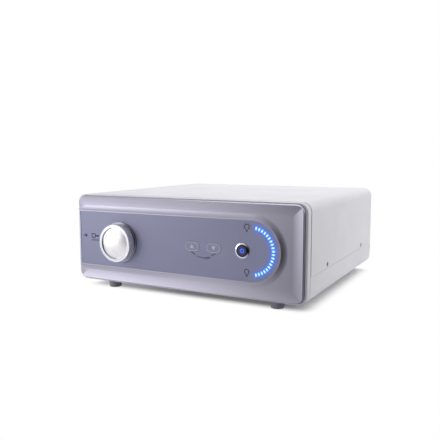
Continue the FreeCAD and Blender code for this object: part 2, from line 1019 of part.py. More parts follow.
rim_cove = (S.rim_width * S.rim_width + S.rim_rise * S.rim_rise) / (S.rim_rise * 2)
dish_front = rim_face - S.overrun
dish_length = Body("bezel_dish_length")
dish_length.pad(
    outline(
        dish_length.sketch("YZ", -bezel_half - S.overrun),
        [
            (dish_front, bezel_low - S.overrun),
            (rim_face, bezel_low - S.overrun),
            (rim_face, bezel_low),
            (0, bezel_low + S.rim_width),
            (0, bezel_top - S.rim_width),
            (rim_face, bezel_top),
            (rim_face, bezel_top + S.overrun),
            (dish_front, bezel_top + S.overrun),
        ],
        {
            2: (-rim_cove, bezel_low + S.rim_width, 1),
            4: (-rim_cove, bezel_top - S.rim_width, 1),
        },
    ),
    bezel_half * 2 + S.overrun * 2,
)
dish_height = Body("bezel_dish_height")
dish_height.pad(
    outline(
        dish_height.sketch("XY", bezel_low - S.overrun),
        [
            (-bezel_half - S.overrun, rim_face),
            (-bezel_half, rim_face),
            (S.rim_width - bezel_half, 0),
            (bezel_half - S.rim_width, 0),
            (bezel_half, rim_face),
            (bezel_half + S.overrun, rim_face),
            (bezel_half + S.overrun, dish_front),
            (-bezel_half - S.overrun, dish_front),
        ],
        {
            1: (S.rim_width - bezel_half, -rim_cove, -1),
            3: (bezel_half - S.rim_width, -rim_cove, -1),
        },
    ),
    bezel_top - bezel_low + S.overrun * 2,
)
dish = common("bezel_dish", dish_length.body, dish_height.body)
dished = cut("bezel_dished", shell.body, [dish])

flank_radius = S.overlay_radius + S.plateau_rim + S.plateau_flank
cove_radius = (S.plateau_flank * S.plateau_flank + S.plateau_rise * S.plateau_rise) / (
    S.plateau_rise * 2
)
plateau_left = S.plateau_end_inset - bezel_half
straight = Body("plateau_straight")
straight.pad(
    rectangle(
        straight.sketch("XZ", plateau_face),
        plateau_left,
        case_middle - flank_radius,
        overlay_centre,
        case_middle + flank_radius,
    ),
    S.plateau_rise + S.bezel_wall / 2,
    -1,
)
straight.round(
    S.plateau_edge,
    lambda middle, line: abs(middle.y - plateau_face.value) < 0.001
    and abs(middle.x - plateau_left.value) < 0.001,
)
disc = rod(
    "plateau_end", flank_radius, (overlay_centre, plateau_face, case_middle), S.plateau_rise
)
cove_length = overlay_centre - plateau_left
coves = [
    rod(
        f"plateau_cove_{number}",
        cove_radius,
        (plateau_left - S.overrun, -cove_radius, case_middle + rise * flank_radius),
        cove_length + S.overrun,
        "x",
    )
    for number, rise in enumerate((-1, 1), start=1)
]
end_cove = ring(
    "plateau_end_cove", flank_radius, cove_radius, (overlay_centre, -cove_radius, case_middle)
)
bar = cut("plateau_bar", straight.body, coves)
nose = cut("plateau_nose", disc, [end_cove])

recess = Body("overlay_recess")
overlay_left = plateau_left + S.plateau_edge + S.plateau_rim
recess.pad(
    half_stadium(
        recess.sketch("XZ", plateau_face - S.overrun),
        overlay_left,
        overlay_centre,
        case_middle,
        S.overlay_radius + S.gauge_gap,
    ),
    S.overrun + overlay_back - plateau_face,
    -1,
)
key_spots = (key_up_side, key_down_side)
key_end = S.key_height / 2
key_reach = S.key_length / 2 - key_end
openings = Body("bezel_openings")
key_cuts = openings.sketch("XZ", overlay_back - S.overrun)
for across in key_spots:
    stadium(
        key_cuts, across - key_reach, across + key_reach, case_middle, key_end + S.key_gap
    )
openings.pad(key_cuts, S.overrun + S.bezel_wall - overlay_back + S.overrun, -1)
through = S.bezel_wall - plateau_face + S.overrun * 2
port_hole = rod(
    "bezel_port_hole",
    S.pilot_radius + S.barrel_gap,
    (port_side, plateau_face - S.overrun, port_height),
    through,
)
power_hole = rod(
    "bezel_power_hole",
    S.power_barrel_radius + S.key_gap,
    (power_side, plateau_face - S.overrun, case_middle),
    through,
)
GAUGE_BARS = 20
gauge_turn = S.gauge_pitch / S.gauge_radius * (FULL_TURN / (math.pi * 2))
gauge_half = gauge_turn * (GAUGE_BARS - 1) / 2
gauge_slot = Body("gauge_slot", (overlay_centre, 0, case_middle))
slot_inner = S.gauge_radius - S.gauge_bar_length / 2 - S.gauge_gap
slot_outer = S.gauge_radius + S.gauge_bar_length / 2 + S.gauge_gap
slot_end = gauge_half + gauge_turn / 2
slot_points = [
    (slot_inner * cosine(slot_end), -slot_inner * sine(slot_end)),
    (slot_outer * cosine(slot_end), -slot_outer * sine(slot_end)),
    (slot_outer * cosine(slot_end), slot_outer * sine(slot_end)),
    (slot_inner * cosine(slot_end), slot_inner * sine(slot_end)),
]
gauge_slot.pad(
    outline(
        gauge_slot.sketch("XZ", plateau_face - S.overrun),
        slot_points,
        {1: (0, 0, 1), 3: (0, 0, -1)},
    ),
    through,
    -1,
)
bezel = cut(
    "front_bezel",
    fuse("bezel_blank", [dished, bar, nose]),
    [recess.body, openings.body, port_hole, power_hole, gauge_slot.body],
)
piece("front_bezel", [bezel])

# Bezel screws, from behind through the subpanel

piece(
    "bezel_screws",
    [
        screw(
            f"bezel_screw_{number}",
            S.bezel_screw_head_radius,
            S.bezel_screw_head,
            S.bezel_screw_radius,
            S.bezel_screw_length,
            (across, subpanel_back, up),
            "y",
            -1,
        )
        for number, (across, up) in enumerate(boss_spots, start=1)
    ],
)

# Front subpanel: steel plate behind the frame, with a window for the display board's wiring

panel = Body("front_subpanel")
panel.pad(
    plate(
        panel.sketch("XZ", subpanel_front),
        S.subpanel_inset - half_width,
        S.subpanel_inset,
        half_width - S.subpanel_inset,
        S.case_height - S.subpanel_inset,
        S.case_corner - S.subpanel_inset,
    ),
    S.sheet,
    -1,
)
display_left = overlay_centre - S.display_left_reach
display_right = overlay_centre + S.display_right_reach
window_half = case_middle - S.display_margin - S.window_edge_inset
holes = panel.sketch("XZ", subpanel_front)
circle(holes, port_side, port_height, S.pilot_radius + S.barrel_gap)
for across, up in boss_spots:
    circle(holes, across, up, S.bezel_screw_radius + S.close_fit)
rectangle(
    holes,
    display_left + S.window_left_inset,
    case_middle - window_half,
    display_right - S.window_right_inset,
    case_middle + window_half,
)
for across, up in subpanel_screw_spots:
    circle(holes, across, up, S.rear_screw_radius + S.close_fit)
panel.pocket(holes, S.sheet)
panel.done()
piece(
    "subpanel_screws",
    [
        screw(
            f"subpanel_screw_{number}",
            S.rear_screw_head_radius,
            S.rear_screw_head,
            S.rear_screw_radius,
            S.rear_screw_length,
            (across, subpanel_front, up),
            "y",
            1,
        )
        for number, (across, up) in enumerate(subpanel_screw_spots, start=1)
    ],
)

# Control overlay: printed sheet let into the plateau, with a slot for each light bar

overlay = Body("control_overlay", (overlay_centre, 0, case_middle))
overlay.pad(
    half_stadium(
        overlay.sketch("XZ", overlay_face),
        overlay_left + S.gauge_gap - overlay_centre,
        0,
        0,
        S.overlay_radius,
    ),
    S.overlay_thickness,
    -1,
)
holes = overlay.sketch("XZ", overlay_face)
circle(
    holes,
    port_side - overlay_centre,
    port_height - case_middle,
    S.pilot_radius + S.barrel_gap,
)
circle(holes, power_side - overlay_centre, 0, S.power_barrel_radius + S.key_gap)
for across in key_spots:
    stadium(
        holes,
        across - overlay_centre - key_reach,
        across - overlay_centre + key_reach,
        0,
        key_end + S.key_gap,
    )
overlay.pocket(holes, S.overlay_thickness)


def radial_bar(drawing, inner, outer, width, turn):
    """A bar that points away from the origin, turned from level."""
    across, up = cosine(turn), sine(turn)
    corners = [(inner, -width / 2), (outer, -width / 2), (outer, width / 2), (inner, width / 2)]
    return polygon(
        drawing,
        [(reach * across - off * up, reach * up + off * across) for reach, off in corners],
    )


first_slot = radial_bar(
    overlay.sketch("XZ", overlay_face),
    slot_inner,
    slot_outer,
    S.gauge_bar_width + S.gauge_gap * 2,
    gauge_half,
)
slots = overlay.pocket(first_slot, S.overlay_thickness)
overlay.polar(slots, GAUGE_BARS, gauge_half * 2)
overlay.done()

# Gauge light bars: clear rods from the lamps on the display board to the overlay's face

bars = Body("gauge_light_bars", (overlay_centre, 0, case_middle))
bars_front = overlay_face - S.gauge_bar_proud
lamp_front = S.display_front - S.gauge_lamp_height
first_bar = bars.pad(
    radial_bar(
        bars.sketch("XZ", bars_front),
        slot_inner + S.gauge_gap,
        slot_outer - S.gauge_gap,
        S.gauge_bar_width,
        gauge_half,
    ),
    lamp_front - bars_front - S.gauge_gap,
    -1,
)
bars.polar(first_bar, GAUGE_BARS, gauge_half * 2)
bars.done()

# Gauge lamps: chip lamps on the display board, one behind each bar

lamps = Body("gauge_lamps", (overlay_centre, 0, case_middle))
first_lamp = lamps.pad(
    radial_bar(
        lamps.sketch("XZ", lamp_front),
        S.gauge_radius - S.gauge_lamp_length / 2,
        S.gauge_radius + S.gauge_lamp_length / 2,
        S.gauge_lamp_width,
        gauge_half,
    ),
    S.gauge_lamp_height,
    -1,
)
lamps.polar(first_lamp, GAUGE_BARS, gauge_half * 2)
lamps.done()

# Keys: pill-shaped caps that press the switches on the display board

key_front = overlay_face - S.key_proud
for label, across in zip(("key_up", "key_down"), key_spots):
    key = Body(label, (across, 0, case_middle))
    key.pad(
        stadium(key.sketch("XZ", key_front), -key_reach, key_reach, 0, key_end), S.key_depth, -1
    )
    key.done()

switches = []
key_back = key_front + S.key_depth
switch_front = S.display_front - S.key_switch_body
stem_front = key_back + S.running_gap / 3
for number, across in enumerate(key_spots, start=1):
    half_switch = S.key_switch_size / 2
    case = box(
        f"key_switch_{number}_case",
        (across - half_switch, switch_front, case_middle - half_switch),
        (across + half_switch, S.display_front, case_middle + half_switch),
    )
    stem = rod(
        f"key_switch_{number}_stem",
        S.key_switch_stem_radius,
        (across, stem_front + S.key_travel, case_middle),
        switch_front - stem_front - S.key_travel,
    )
    switches.append(fuse(f"key_switch_{number}", [case, stem]))
piece("key_switches", switches)

# Display board on its posts, with a driver chip and a socket for the ribbon

display_middle = (display_left + display_right) / 2
display_half = case_middle - S.display_margin
display_post_side = (display_right - display_left) / 2 - S.display_post_inset
display_post_spread = display_half - S.display_post_drop
display_back = S.display_front + S.board
post_spots = [
    (display_middle + side * display_post_side, case_middle + rise * display_post_spread)
    for side in (-1, 1)
    for rise in (-1, 1)
]
display = Body("display_board")
display.pad(
    rectangle(
        display.sketch("XZ", S.display_front),
        display_left,
        case_middle - display_half,
        display_right,
        case_middle + display_half,
    ),
    S.board,
    -1,
)
holes = display.sketch("XZ", S.display_front)
circle(holes, power_side, case_middle, S.power_nut_radius + S.key_gap)
for across, up in post_spots:
    circle(holes, across, up, S.display_screw_radius + S.close_fit)
display.pocket(holes, S.board)
chips = display.sketch("XZ", display_back)
chip_left = key_down_side - S.chip_size / 2
rectangle(
    chips,
    chip_left,
    case_middle - S.chip_size / 2,
    chip_left + S.chip_size,
    case_middle + S.chip_size / 2,
)
display.pad(chips, S.chip, -1)
display.done()

posts = []
display_screws = []
for number, (across, up) in enumerate(post_spots, start=1):
    post = rod(
        f"display_post_{number}_blank",
        S.display_post_radius,
        (across, S.bezel_wall, up),
        S.display_front - S.bezel_wall,
    )
    bore = rod(
        f"display_post_{number}_bore",
        S.display_screw_radius + S.close_fit,
        (across, S.bezel_wall, up),
        S.display_front - S.bezel_wall,
    )
    posts.append(cut(f"display_post_{number}", post, [bore]))
    display_screws.append(
        screw(
            f"display_screw_{number}",
            S.display_screw_head_radius,
            S.display_screw_head,
            S.display_screw_radius,
            display_back - S.bezel_wall,
            (across, display_back, up),
            "y",
            -1,
        )
    )
piece("display_posts", posts)
piece("display_screws", display_screws)

# Front switch: chrome ring and threaded barrel, nut behind the bezel, sprung lit button

ring_front = overlay_face - S.power_ring_proud
switch_bezel = Body("power_switch_ring", (power_side, 0, case_middle))
button_bore = S.power_button_radius + S.power_button_gap
barrel_back = overlay_face + S.power_barrel_length
switch_bezel.spin(
    polygon(
        switch_bezel.sketch("XY", 0),
        [
            (button_bore, ring_front),
            (S.power_ring_radius, ring_front + S.power_ring_slope),
            (S.power_ring_radius, overlay_face),
            (S.power_barrel_radius, overlay_face),
            (S.power_barrel_radius, barrel_back),
            (button_bore, barrel_back),
        ],
    )
)
switch_bezel.done()

button_front = ring_front + S.power_button_sink
button = Body("power_button", (power_side, 0, case_middle))
button.pad(
    circle(button.sketch("XZ", button_front), 0, 0, S.power_button_radius),
    S.power_button_length,
    -1,
)
button.done()

nut = Body("power_switch_nut", (power_side, 0, case_middle))
NUT_SIDES = 6
nut_turns = [as_size(FULL_TURN / NUT_SIDES * corner) for corner in range(NUT_SIDES)]
hexagon = [
    (S.power_nut_radius * cosine(turn), S.power_nut_radius * sine(turn)) for turn in nut_turns
]
nut.pad(polygon(nut.sketch("XZ", S.bezel_wall), hexagon), S.power_nut, -1)
nut.pocket(
    circle(nut.sketch("XZ", S.bezel_wall), 0, 0, S.power_barrel_radius + S.close_fit), S.power_nut
)
nut.done()

switch_body = Body("power_switch_body", (power_side, 0, case_middle))
switch_body.pad(
    circle(switch_body.sketch("XZ", barrel_back), 0, 0, S.power_barrel_radius),
    S.power_body_length,
    -1,
)
body_back = barrel_back + S.power_body_length
pins = switch_body.sketch("XZ", body_back)
for rise in (-1, 0, 1):
    circle(pins, 0, rise * S.power_barrel_radius / 2, S.power_pin_radius)
switch_body.pad(pins, S.power_pin_length, -1)
switch_body.done()

# Light-guide socket: turned body with a thin flange, three jaw guides and the guide's bore

socket = Body("port_body", port)
sleeve_bore = S.guide_front + S.guide_length
socket.spin(
    polygon(
        socket.sketch("XY", 0),
        [
            (S.entry_radius, pilot_face),
            (S.pilot_radius, pilot_face),
            (S.pilot_radius, flange_face),
            (S.flange_radius, flange_face),
            (S.flange_radius, overlay_face),
            (S.pilot_radius, overlay_face),
            (S.pilot_radius, S.barrel_back),
            (S.sleeve_radius, S.barrel_back),
            (S.sleeve_radius, S.sleeve_back),
            (S.focus_radius, S.sleeve_back),
            (S.focus_radius, sleeve_bore),
            (S.guide_radius, sleeve_bore),
            (S.guide_radius, S.guide_front),
            (S.entry_radius, S.guide_front),
        ],
    )
)
guide_depth = S.jaw_depth + S.jaw_gap * 2
channel = socket.sketch("XZ", pilot_face)
jaw_back_radius = S.jaw_open + S.jaw_length
half_channel = S.jaw_width / 2 + S.jaw_gap
rectangle(channel, 0, -half_channel, jaw_back_radius + S.jaw_gap, half_channel)
first_channel = socket.pocket(channel, guide_depth)
JAWS = 3
socket.polar(first_channel, JAWS, spread(JAWS))
socket.done()

# Retaining ring: threaded ring that draws the socket body against the bezel from behind

retainer = Body("port_retaining_ring", port)
retainer.pad(circle(retainer.sketch("XZ", subpanel_back), 0, 0, S.ring_radius), S.ring, -1)
retainer.pocket(
    circle(retainer.sketch("XZ", subpanel_back), 0, 0, S.pilot_radius + S.close_fit), S.ring
)
retainer.done()

# Clamp jaws: hardened blocks with a blunt tip and a cam pin, 120 degrees apart

jaw_front = pilot_face + S.jaw_gap
web_back = pilot_face - S.running_gap
web_front = web_back - S.collar_web
pin_front = web_front + S.running_gap
for number in range(JAWS):
    turn = FULL_TURN / JAWS * number
    half_jaw = S.jaw_width / 2
    block = box(
        f"jaw_{number + 1}_block",
        (S.jaw_open, jaw_front, -half_jaw),
        (jaw_back_radius, jaw_front + S.jaw_depth, half_jaw),
    )
    pin = rod(
        f"jaw_{number + 1}_pin",
        S.jaw_pin_radius,
        (S.jaw_open + S.jaw_pin_reach, pin_front, 0),
        jaw_front - pin_front,
    )
    jaw = fuse(f"jaw_{number + 1}_solid", [block, pin])
    piece(f"clamp_jaw_{number + 1}", [turned(f"clamp_jaw_{number + 1}", jaw, "y", port, -turn)])

# Clamping collar: knurled ring that turns on the pilot, with three spiral cam slots in its web

collar = Body("collar_blank")
collar_back = flange_face - S.running_gap
collar_front = -S.collar_face
fit_radius = S.pilot_radius + S.close_fit
collar.spin(
    polygon(
        collar.sketch("XY", 0),
        [
            (fit_radius, collar_back),
            (fit_radius, web_back),
            (S.collar_hole_radius, web_back),
            (S.collar_hole_radius, web_front),
            (S.collar_mouth_radius, web_front),
            (S.collar_mouth_radius, collar_front),
            (S.collar_radius - S.collar_bevel, collar_front),
            (S.collar_radius, collar_front + S.collar_bevel),
            (S.collar_radius, collar_back - S.collar_bevel),
            (S.collar_radius - S.collar_bevel, collar_back),
        ],
    )
)
KNURLS = 60
knurl_front = collar_front + S.knurl_margin
knurl_back = collar_back - S.knurl_margin
groove = collar.sketch("XZ", knurl_front)
knurl_tip = S.collar_radius - S.knurl_depth
knurl_mouth = S.collar_radius + S.knurl_depth
polygon(
    groove,
    [(knurl_tip, 0), (knurl_mouth, -S.knurl_depth * 2), (knurl_mouth, S.knurl_depth * 2)],
)
first_groove = collar.pocket(groove, knurl_back - knurl_front)
collar.polar(first_groove, KNURLS, spread(KNURLS))
doc.recompute()


def cam_slot():
    """A slot whose middle line falls evenly towards the centre as it turns: one jaw pin runs in it."""
    open_reach = S.jaw_open.value + S.jaw_pin_reach.value
    half = S.jaw_pin_radius.value + S.cam_gap.value
    rate = S.cam_rate.value
    turn = math.radians(S.cam_turn.value)
    front = web_front.value - S.overrun.value
    steps = 12

    def middle(angle):
        reach = open_reach - rate * angle
        return FreeCAD.Vector(reach * math.cos(angle), front, reach * math.sin(angle))

    def aside(angle, way):
        reach = open_reach - rate * angle
        across = FreeCAD.Vector(-math.sin(angle), 0, math.cos(angle)) * reach
        inward = FreeCAD.Vector(math.cos(angle), 0, math.sin(angle)) * rate
        line = (across - inward).normalize()
        return middle(angle) + FreeCAD.Vector(line.z, 0, -line.x) * half * way

    def edge(way):
        curve = Part.BSplineCurve()
        curve.interpolate([aside(turn * step / steps, way) for step in range(steps + 1)])
        return curve.toShape()

    def end(angle, way):
        outward = (aside(angle, 1) - middle(angle)).normalize()
        along = FreeCAD.Vector(-outward.z, 0, outward.x) * way
        return Part.Arc(aside(angle, 1), middle(angle) + along * half, aside(angle, -1)).toShape()

    edges = Part.sortEdges([edge(1), end(turn, 1), edge(-1), end(0, -1)])[0]
    depth = S.collar_web.value + 2 * S.overrun.value
    return Part.Face(Part.Wire(edges)).extrude(FreeCAD.Vector(0, depth, 0))


slots = []
for number in range(JAWS):
    slot = doc.addObject("Part::Feature", f"cam_slot_{number + 1}")
    slot.Shape = cam_slot()
    turn = FreeCAD.Rotation(ALONG["y"], -FULL_TURN / JAWS * number)
    slot.Placement = FreeCAD.Placement(FreeCAD.Vector(), turn)
    slots.append(slot)
knob = cut("port_collar", collar.body, slots)
place(knob, port)
piece("port_collar", [knob])

# Dust cap: turned and polished, domed, hollow behind, held in the collar's mouth by a seal ring

cap_back = web_front - S.cap_gap
cap_edge = collar_front + S.cap_edge_sink
dome_radius = (S.cap_radius * S.cap_radius + S.cap_dome * S.cap_dome) / (S.cap_dome * 2)
plug = rod("cap_plug", S.cap_radius, (0, cap_edge - S.cap_dome, 0), cap_back - cap_edge + S.cap_dome)
ball = doc.addObject("Part::Sphere", "cap_ball")
bind(ball, Radius=dome_radius)
place(ball, (0, cap_edge - S.cap_dome + dome_radius, 0))
hollow = rod(
    "cap_hollow",
    S.cap_radius - S.cap_wall * 2,
    (0, cap_edge - S.cap_dome + S.cap_wall * 2, 0),
    cap_back - cap_edge + S.cap_dome,
)
seal_at = (cap_edge + cap_back) / 2
groove_ring = cut(
    "cap_groove",
    rod(
        "cap_groove_outer",
        S.cap_radius + S.overrun,
        (0, seal_at - S.cap_groove_width / 2, 0),
        S.cap_groove_width,
    ),
    [
        rod(
            "cap_groove_inner",
            S.cap_radius - S.cap_groove_depth,
            (0, seal_at - S.cap_groove_width, 0),
            S.cap_groove_width * 2,
        )
    ],
)
cap = cut("port_cap", common("cap_dome_solid", plug, ball), [hollow, groove_ring])
place(cap, port)
piece("port_cap", [cap])
seal_middle = S.cap_radius - S.cap_groove_depth + S.cap_seal_radius
seal = ring("cap_seal_ring", seal_middle, S.cap_seal_radius, (port_side, seal_at, port_height))
piece("cap_seal_ring", [seal])

# Heat filter: coated glass disc in an upright plate with a folded foot

glass = rod(
    "heat_filter", S.filter_radius, (port_side, S.filter_front, port_height), S.filter_thickness
)
piece("heat_filter", [glass])
plate_left = port_side - S.filter_plate_width / 2
filter_plate_top = port_height + S.filter_plate_over
filter_back = S.filter_front + S.filter_plate
upright = box(
    "filter_upright",
    (plate_left, S.filter_front, floor_top),
    (plate_left + S.filter_plate_width, filter_back, filter_plate_top),
)
foot = box(
    "filter_foot_plate",
    (plate_left, S.filter_front - S.filter_foot, floor_top),
    (plate_left + S.filter_plate_width, S.filter_front, floor_top + S.filter_plate),
)
window = rod(
    "filter_window",
    S.filter_radius + S.filter_gap,
    (port_side, S.filter_front - S.overrun, port_height),
    S.filter_plate + S.overrun * 2,
)
piece("filter_bracket", [cut("filter_bracket", fuse("filter_blank", [upright, foot]), [window])])

# Dimmer wheel: aluminium disc with graded holes, on its shaft

wheel = Body("dimmer_wheel", (wheel_side, 0, port_height))
wheel.pad(circle(wheel.sketch("XZ", S.wheel_front), 0, 0, S.wheel_radius), S.wheel_thickness, -1)
WHEEL_HOLE_SHARES = (1, 0.88, 0.76, 0.64, 0.53, 0.43, 0.34, 0.26, 0.19, 0.13)
holes = wheel.sketch("XZ", S.wheel_front)
for number, share in enumerate(WHEEL_HOLE_SHARES):
    turn = S.wheel_turn * number
    circle(
        holes,
        -S.wheel_offset * cosine(turn),
        S.wheel_offset * sine(turn),
        S.wheel_hole_radius * share,
    )
wheel.pocket(holes, S.wheel_thickness)
wheel_back = S.wheel_front + S.wheel_thickness
wheel.pad(
    circle(wheel.sketch("XZ", wheel_back), 0, 0, S.wheel_hub_radius), S.wheel_hub, -1
)
wheel.pad(
    circle(wheel.sketch("XZ", wheel_back), 0, 0, S.wheel_shaft_radius), S.wheel_shaft_length, -1
)
wheel.done()

# Dimmer motor on its bracket: a small stepper with a bored shaft seat

motor_front = S.motor_plate_front + S.motor_plate
motor_bore = rod(
    "motor_bore",
    S.wheel_shaft_radius + S.motor_fit,
    (wheel_side, wheel_back - S.overrun, port_height),
    S.wheel_shaft_length + S.overrun + S.running_gap,
)
can = rod("motor_can", S.motor_radius, (wheel_side, motor_front, port_height), S.motor_length)
nose = rod(
    "motor_nose",
    S.motor_boss_radius,
    (wheel_side, motor_front - S.motor_plate - S.motor_boss, port_height),
    S.motor_plate + S.motor_boss,
)
piece("dimmer_motor", [cut("dimmer_motor", fuse("motor_blank", [can, nose]), [motor_bore])])
plate_left = wheel_side - S.motor_radius
motor_plate_top = port_height + S.motor_plate_over
upright = box(
    "motor_upright",
    (plate_left, S.motor_plate_front, floor_top),
    (plate_left + S.motor_plate_side, motor_front, motor_plate_top),
)
foot = box(
    "motor_foot_plate",
    (plate_left, motor_front, floor_top),
    (plate_left + S.motor_plate_side, motor_front + S.motor_foot, floor_top + S.motor_plate),
)
window = rod(
    "motor_window",
    S.motor_boss_radius + S.motor_fit,
    (wheel_side, S.motor_plate_front - S.overrun, port_height),
    S.motor_plate + S.overrun * 2,
)
piece("motor_bracket", [cut("motor_bracket", fuse("motor_plate", [upright, foot]), [window])])

# Lamp: ceramic reflector lamp with a window and rear terminal, held in two finned sinks

lamp_back = S.lamp_front + S.lamp_length
tube = rod("lamp_tube", S.lamp_radius, (port_side, S.lamp_front, port_height), S.lamp_length)
dish = rod(
    "lamp_dish",
    S.lamp_window_radius,
    (port_side, S.lamp_front - S.overrun, port_height),
    S.overrun + S.lamp_window_depth,
)
terminal = rod(
    "lamp_terminal", S.lamp_terminal_radius, (port_side, lamp_back, port_height), S.lamp_terminal
)
piece("lamp", [cut("lamp", fuse("lamp_blank", [tube, terminal]), [dish])])
FINS = 11
for label, front in (("lamp_sink_front", S.sink_front), ("lamp_sink_rear", S.sink_back)):
    left = port_side - S.sink_width / 2
    core = box(
        f"{label}_core",
        (left, front, port_height - S.sink_core / 2),
        (left + S.sink_width, front + S.sink_depth, port_height + S.sink_core / 2),
    )
    fins = [
        box(
            f"{label}_fin_{number + 1}",
            (left + S.fin_pitch * number, front, port_height - S.sink_height / 2),
            (
                left + S.fin_pitch * number + S.fin,
                front + S.sink_depth,
                port_height + S.sink_height / 2,
            ),
        )
        for number in range(FINS)
    ]
    bore = rod(
        f"{label}_bore",
        S.lamp_radius + S.lamp_fit,
        (port_side, front - S.overrun, port_height),
        S.sink_depth + S.overrun * 2,
    )
    tapped = [
        rod(
            f"{label}_tapped_{number}",
            S.lamp_screw_radius + S.close_fit,
            (
                port_side + side * S.sink_width / 2 - S.lamp_screw_length,
                front + S.sink_depth / 2,
                port_height,
            ),
            S.lamp_screw_length * 2,
            "x",
        )
        for number, side in enumerate((-1, 1), start=1)
    ]
    piece(label, [cut(label, fuse(f"{label}_blank", [core] + fins), [bore] + tapped)])

# Lamp bracket: folded cradle whose walls carry the sinks, and the screws that hold them

left = port_side - S.sink_width / 2 - S.lamp_wall
right = port_side + S.sink_width / 2
base_back = S.lamp_base_front + S.lamp_base_depth
lamp_wall_top = port_height + S.lamp_wall_over
base = box(
    "lamp_base",
    (left, S.lamp_base_front, floor_top),
    (right + S.lamp_wall, base_back, floor_top + S.lamp_wall),
)
walls = [
    box(
        f"lamp_wall_{number}",
        (edge, S.lamp_base_front, floor_top),
        (edge + S.lamp_wall, base_back, lamp_wall_top),
    )
    for number, edge in enumerate((left, right), start=1)
]
lamp_screw_spots = [
    (side, front + S.sink_depth / 2)
    for side in (-1, 1)
    for front in (S.sink_front, S.sink_back)
]
bores = [
    rod(
        f"lamp_wall_bore_{number}",
        S.lamp_screw_radius + S.close_fit,
        ((left if side < 0 else right) - S.overrun, along, port_height),
        S.lamp_wall + S.overrun * 2,
        "x",
    )
    for number, (side, along) in enumerate(lamp_screw_spots, start=1)
]
piece("lamp_bracket", [cut("lamp_bracket", fuse("lamp_cradle", [base] + walls), bores)])
piece(
    "lamp_screws",
    [
        screw(
            f"lamp_screw_{number}",
            S.lamp_screw_head_radius,
            S.lamp_screw_head,
            S.lamp_screw_radius,
            S.lamp_screw_length,
            (left if side < 0 else right + S.lamp_wall, along, port_height),
            "x",
            -side,
        )
        for number, (side, along) in enumerate(lamp_screw_spots, start=1)
    ],
)

# Lamp ballast: closed aluminium case with cooling ribs on its lid, flanged to the floor

ballast_side = half_width - S.ballast_inset
ballast = Body("lamp_ballast", (ballast_side, S.ballast_front, floor_top))
ballast.pad(
    rectangle(
        ballast.sketch("XY", 0), -S.ballast_flange, 0, S.ballast_width + S.ballast_flange,
        S.ballast_depth,
    ),
    S.sheet,
)
ballast.pad(
    rectangle(ballast.sketch("XY", 0), 0, 0, S.ballast_width, S.ballast_depth), S.ballast_height
)
first_rib = ballast.pad(
    rectangle(ballast.sketch("XY", S.ballast_height), 0, 0, S.ballast_rib, S.ballast_depth),
    S.ballast_rib_height,
)
RIBS = 8
ballast.linear(first_rib, RIBS, S.ballast_rib_pitch * (RIBS - 1))
ballast.done()

# Power supply: slotted steel cage round its coil and smoothing cans

supply_side = half_width - S.supply_inset
supply_low = (supply_side, S.supply_front, floor_top)
supply = Body("supply_cage", supply_low)
supply.pad(
    rectangle(supply.sketch("XY", 0), 0, 0, S.supply_width, S.supply_depth), S.supply_height
)
supply.pocket(
    rectangle(
        supply.sketch("XY", S.supply_wall),
        S.supply_wall,
        S.supply_wall,
        S.supply_width - S.supply_wall,
        S.supply_depth - S.supply_wall,
    ),
    S.supply_height - S.supply_wall * 2,
    -1,
)
vents = supply.sketch("XY", S.supply_height)
rectangle(
    vents,
    S.supply_vent_pitch,
    S.supply_vent_pitch,
    S.supply_vent_pitch + S.supply_vent,
    S.supply_depth - S.supply_vent_pitch,
)
first_vent = supply.pocket(vents, S.supply_wall)
SUPPLY_VENTS = 8
supply.linear(first_vent, SUPPLY_VENTS, S.supply_vent_pitch * (SUPPLY_VENTS - 1))
supply.done()

supply_board_top = floor_top + S.supply_wall + S.supply_post + S.board
board_edge = S.supply_wall + S.running_gap
supply_board = box(
    "supply_board_plate",
    (
        supply_side + board_edge,
        S.supply_front + board_edge,
        supply_board_top - S.board,
    ),
    (
        supply_side + S.supply_width - board_edge,
        S.supply_front + S.supply_depth - board_edge,
        supply_board_top,
    ),
)
supply_posts = [
    rod(
        f"supply_post_{number}",
        S.main_post_radius,
        (
            supply_side + S.supply_width / 2 + side * S.supply_width / 3,
            S.supply_front + S.supply_depth / 2 + rise * S.supply_depth / 3,
            floor_top + S.supply_wall,
        ),
        S.supply_post,
        "z",
    )
    for number, (side, rise) in enumerate(
        [(side, rise) for side in (-1, 1) for rise in (-1, 1)], start=1
    )
]
coil = box(
    "supply_coil",
    (
        supply_side + S.supply_coil_side,
        S.supply_front + S.supply_depth / 2 - S.supply_coil_size / 2,
        supply_board_top,
    ),
    (
        supply_side + S.supply_coil_side + S.supply_coil_size,
        S.supply_front + S.supply_depth / 2 + S.supply_coil_size / 2,
        supply_board_top + S.supply_coil_height,
    ),
)
cans = [
    rod(
        f"supply_can_{number}",
        S.supply_can_radius,
        (
            supply_side + S.supply_can_side,
            S.supply_front + S.supply_depth / 2 + way * (S.supply_can_radius + S.board),
            supply_board_top,
        ),
        S.supply_can_height,
        "z",
    )
    for number, way in enumerate((-1, 1), start=1)
]
piece("supply_board", [fuse("supply_board", [supply_board, coil] + cans + supply_posts)])

# Main board on four posts, with its chips and the socket for the ribbon

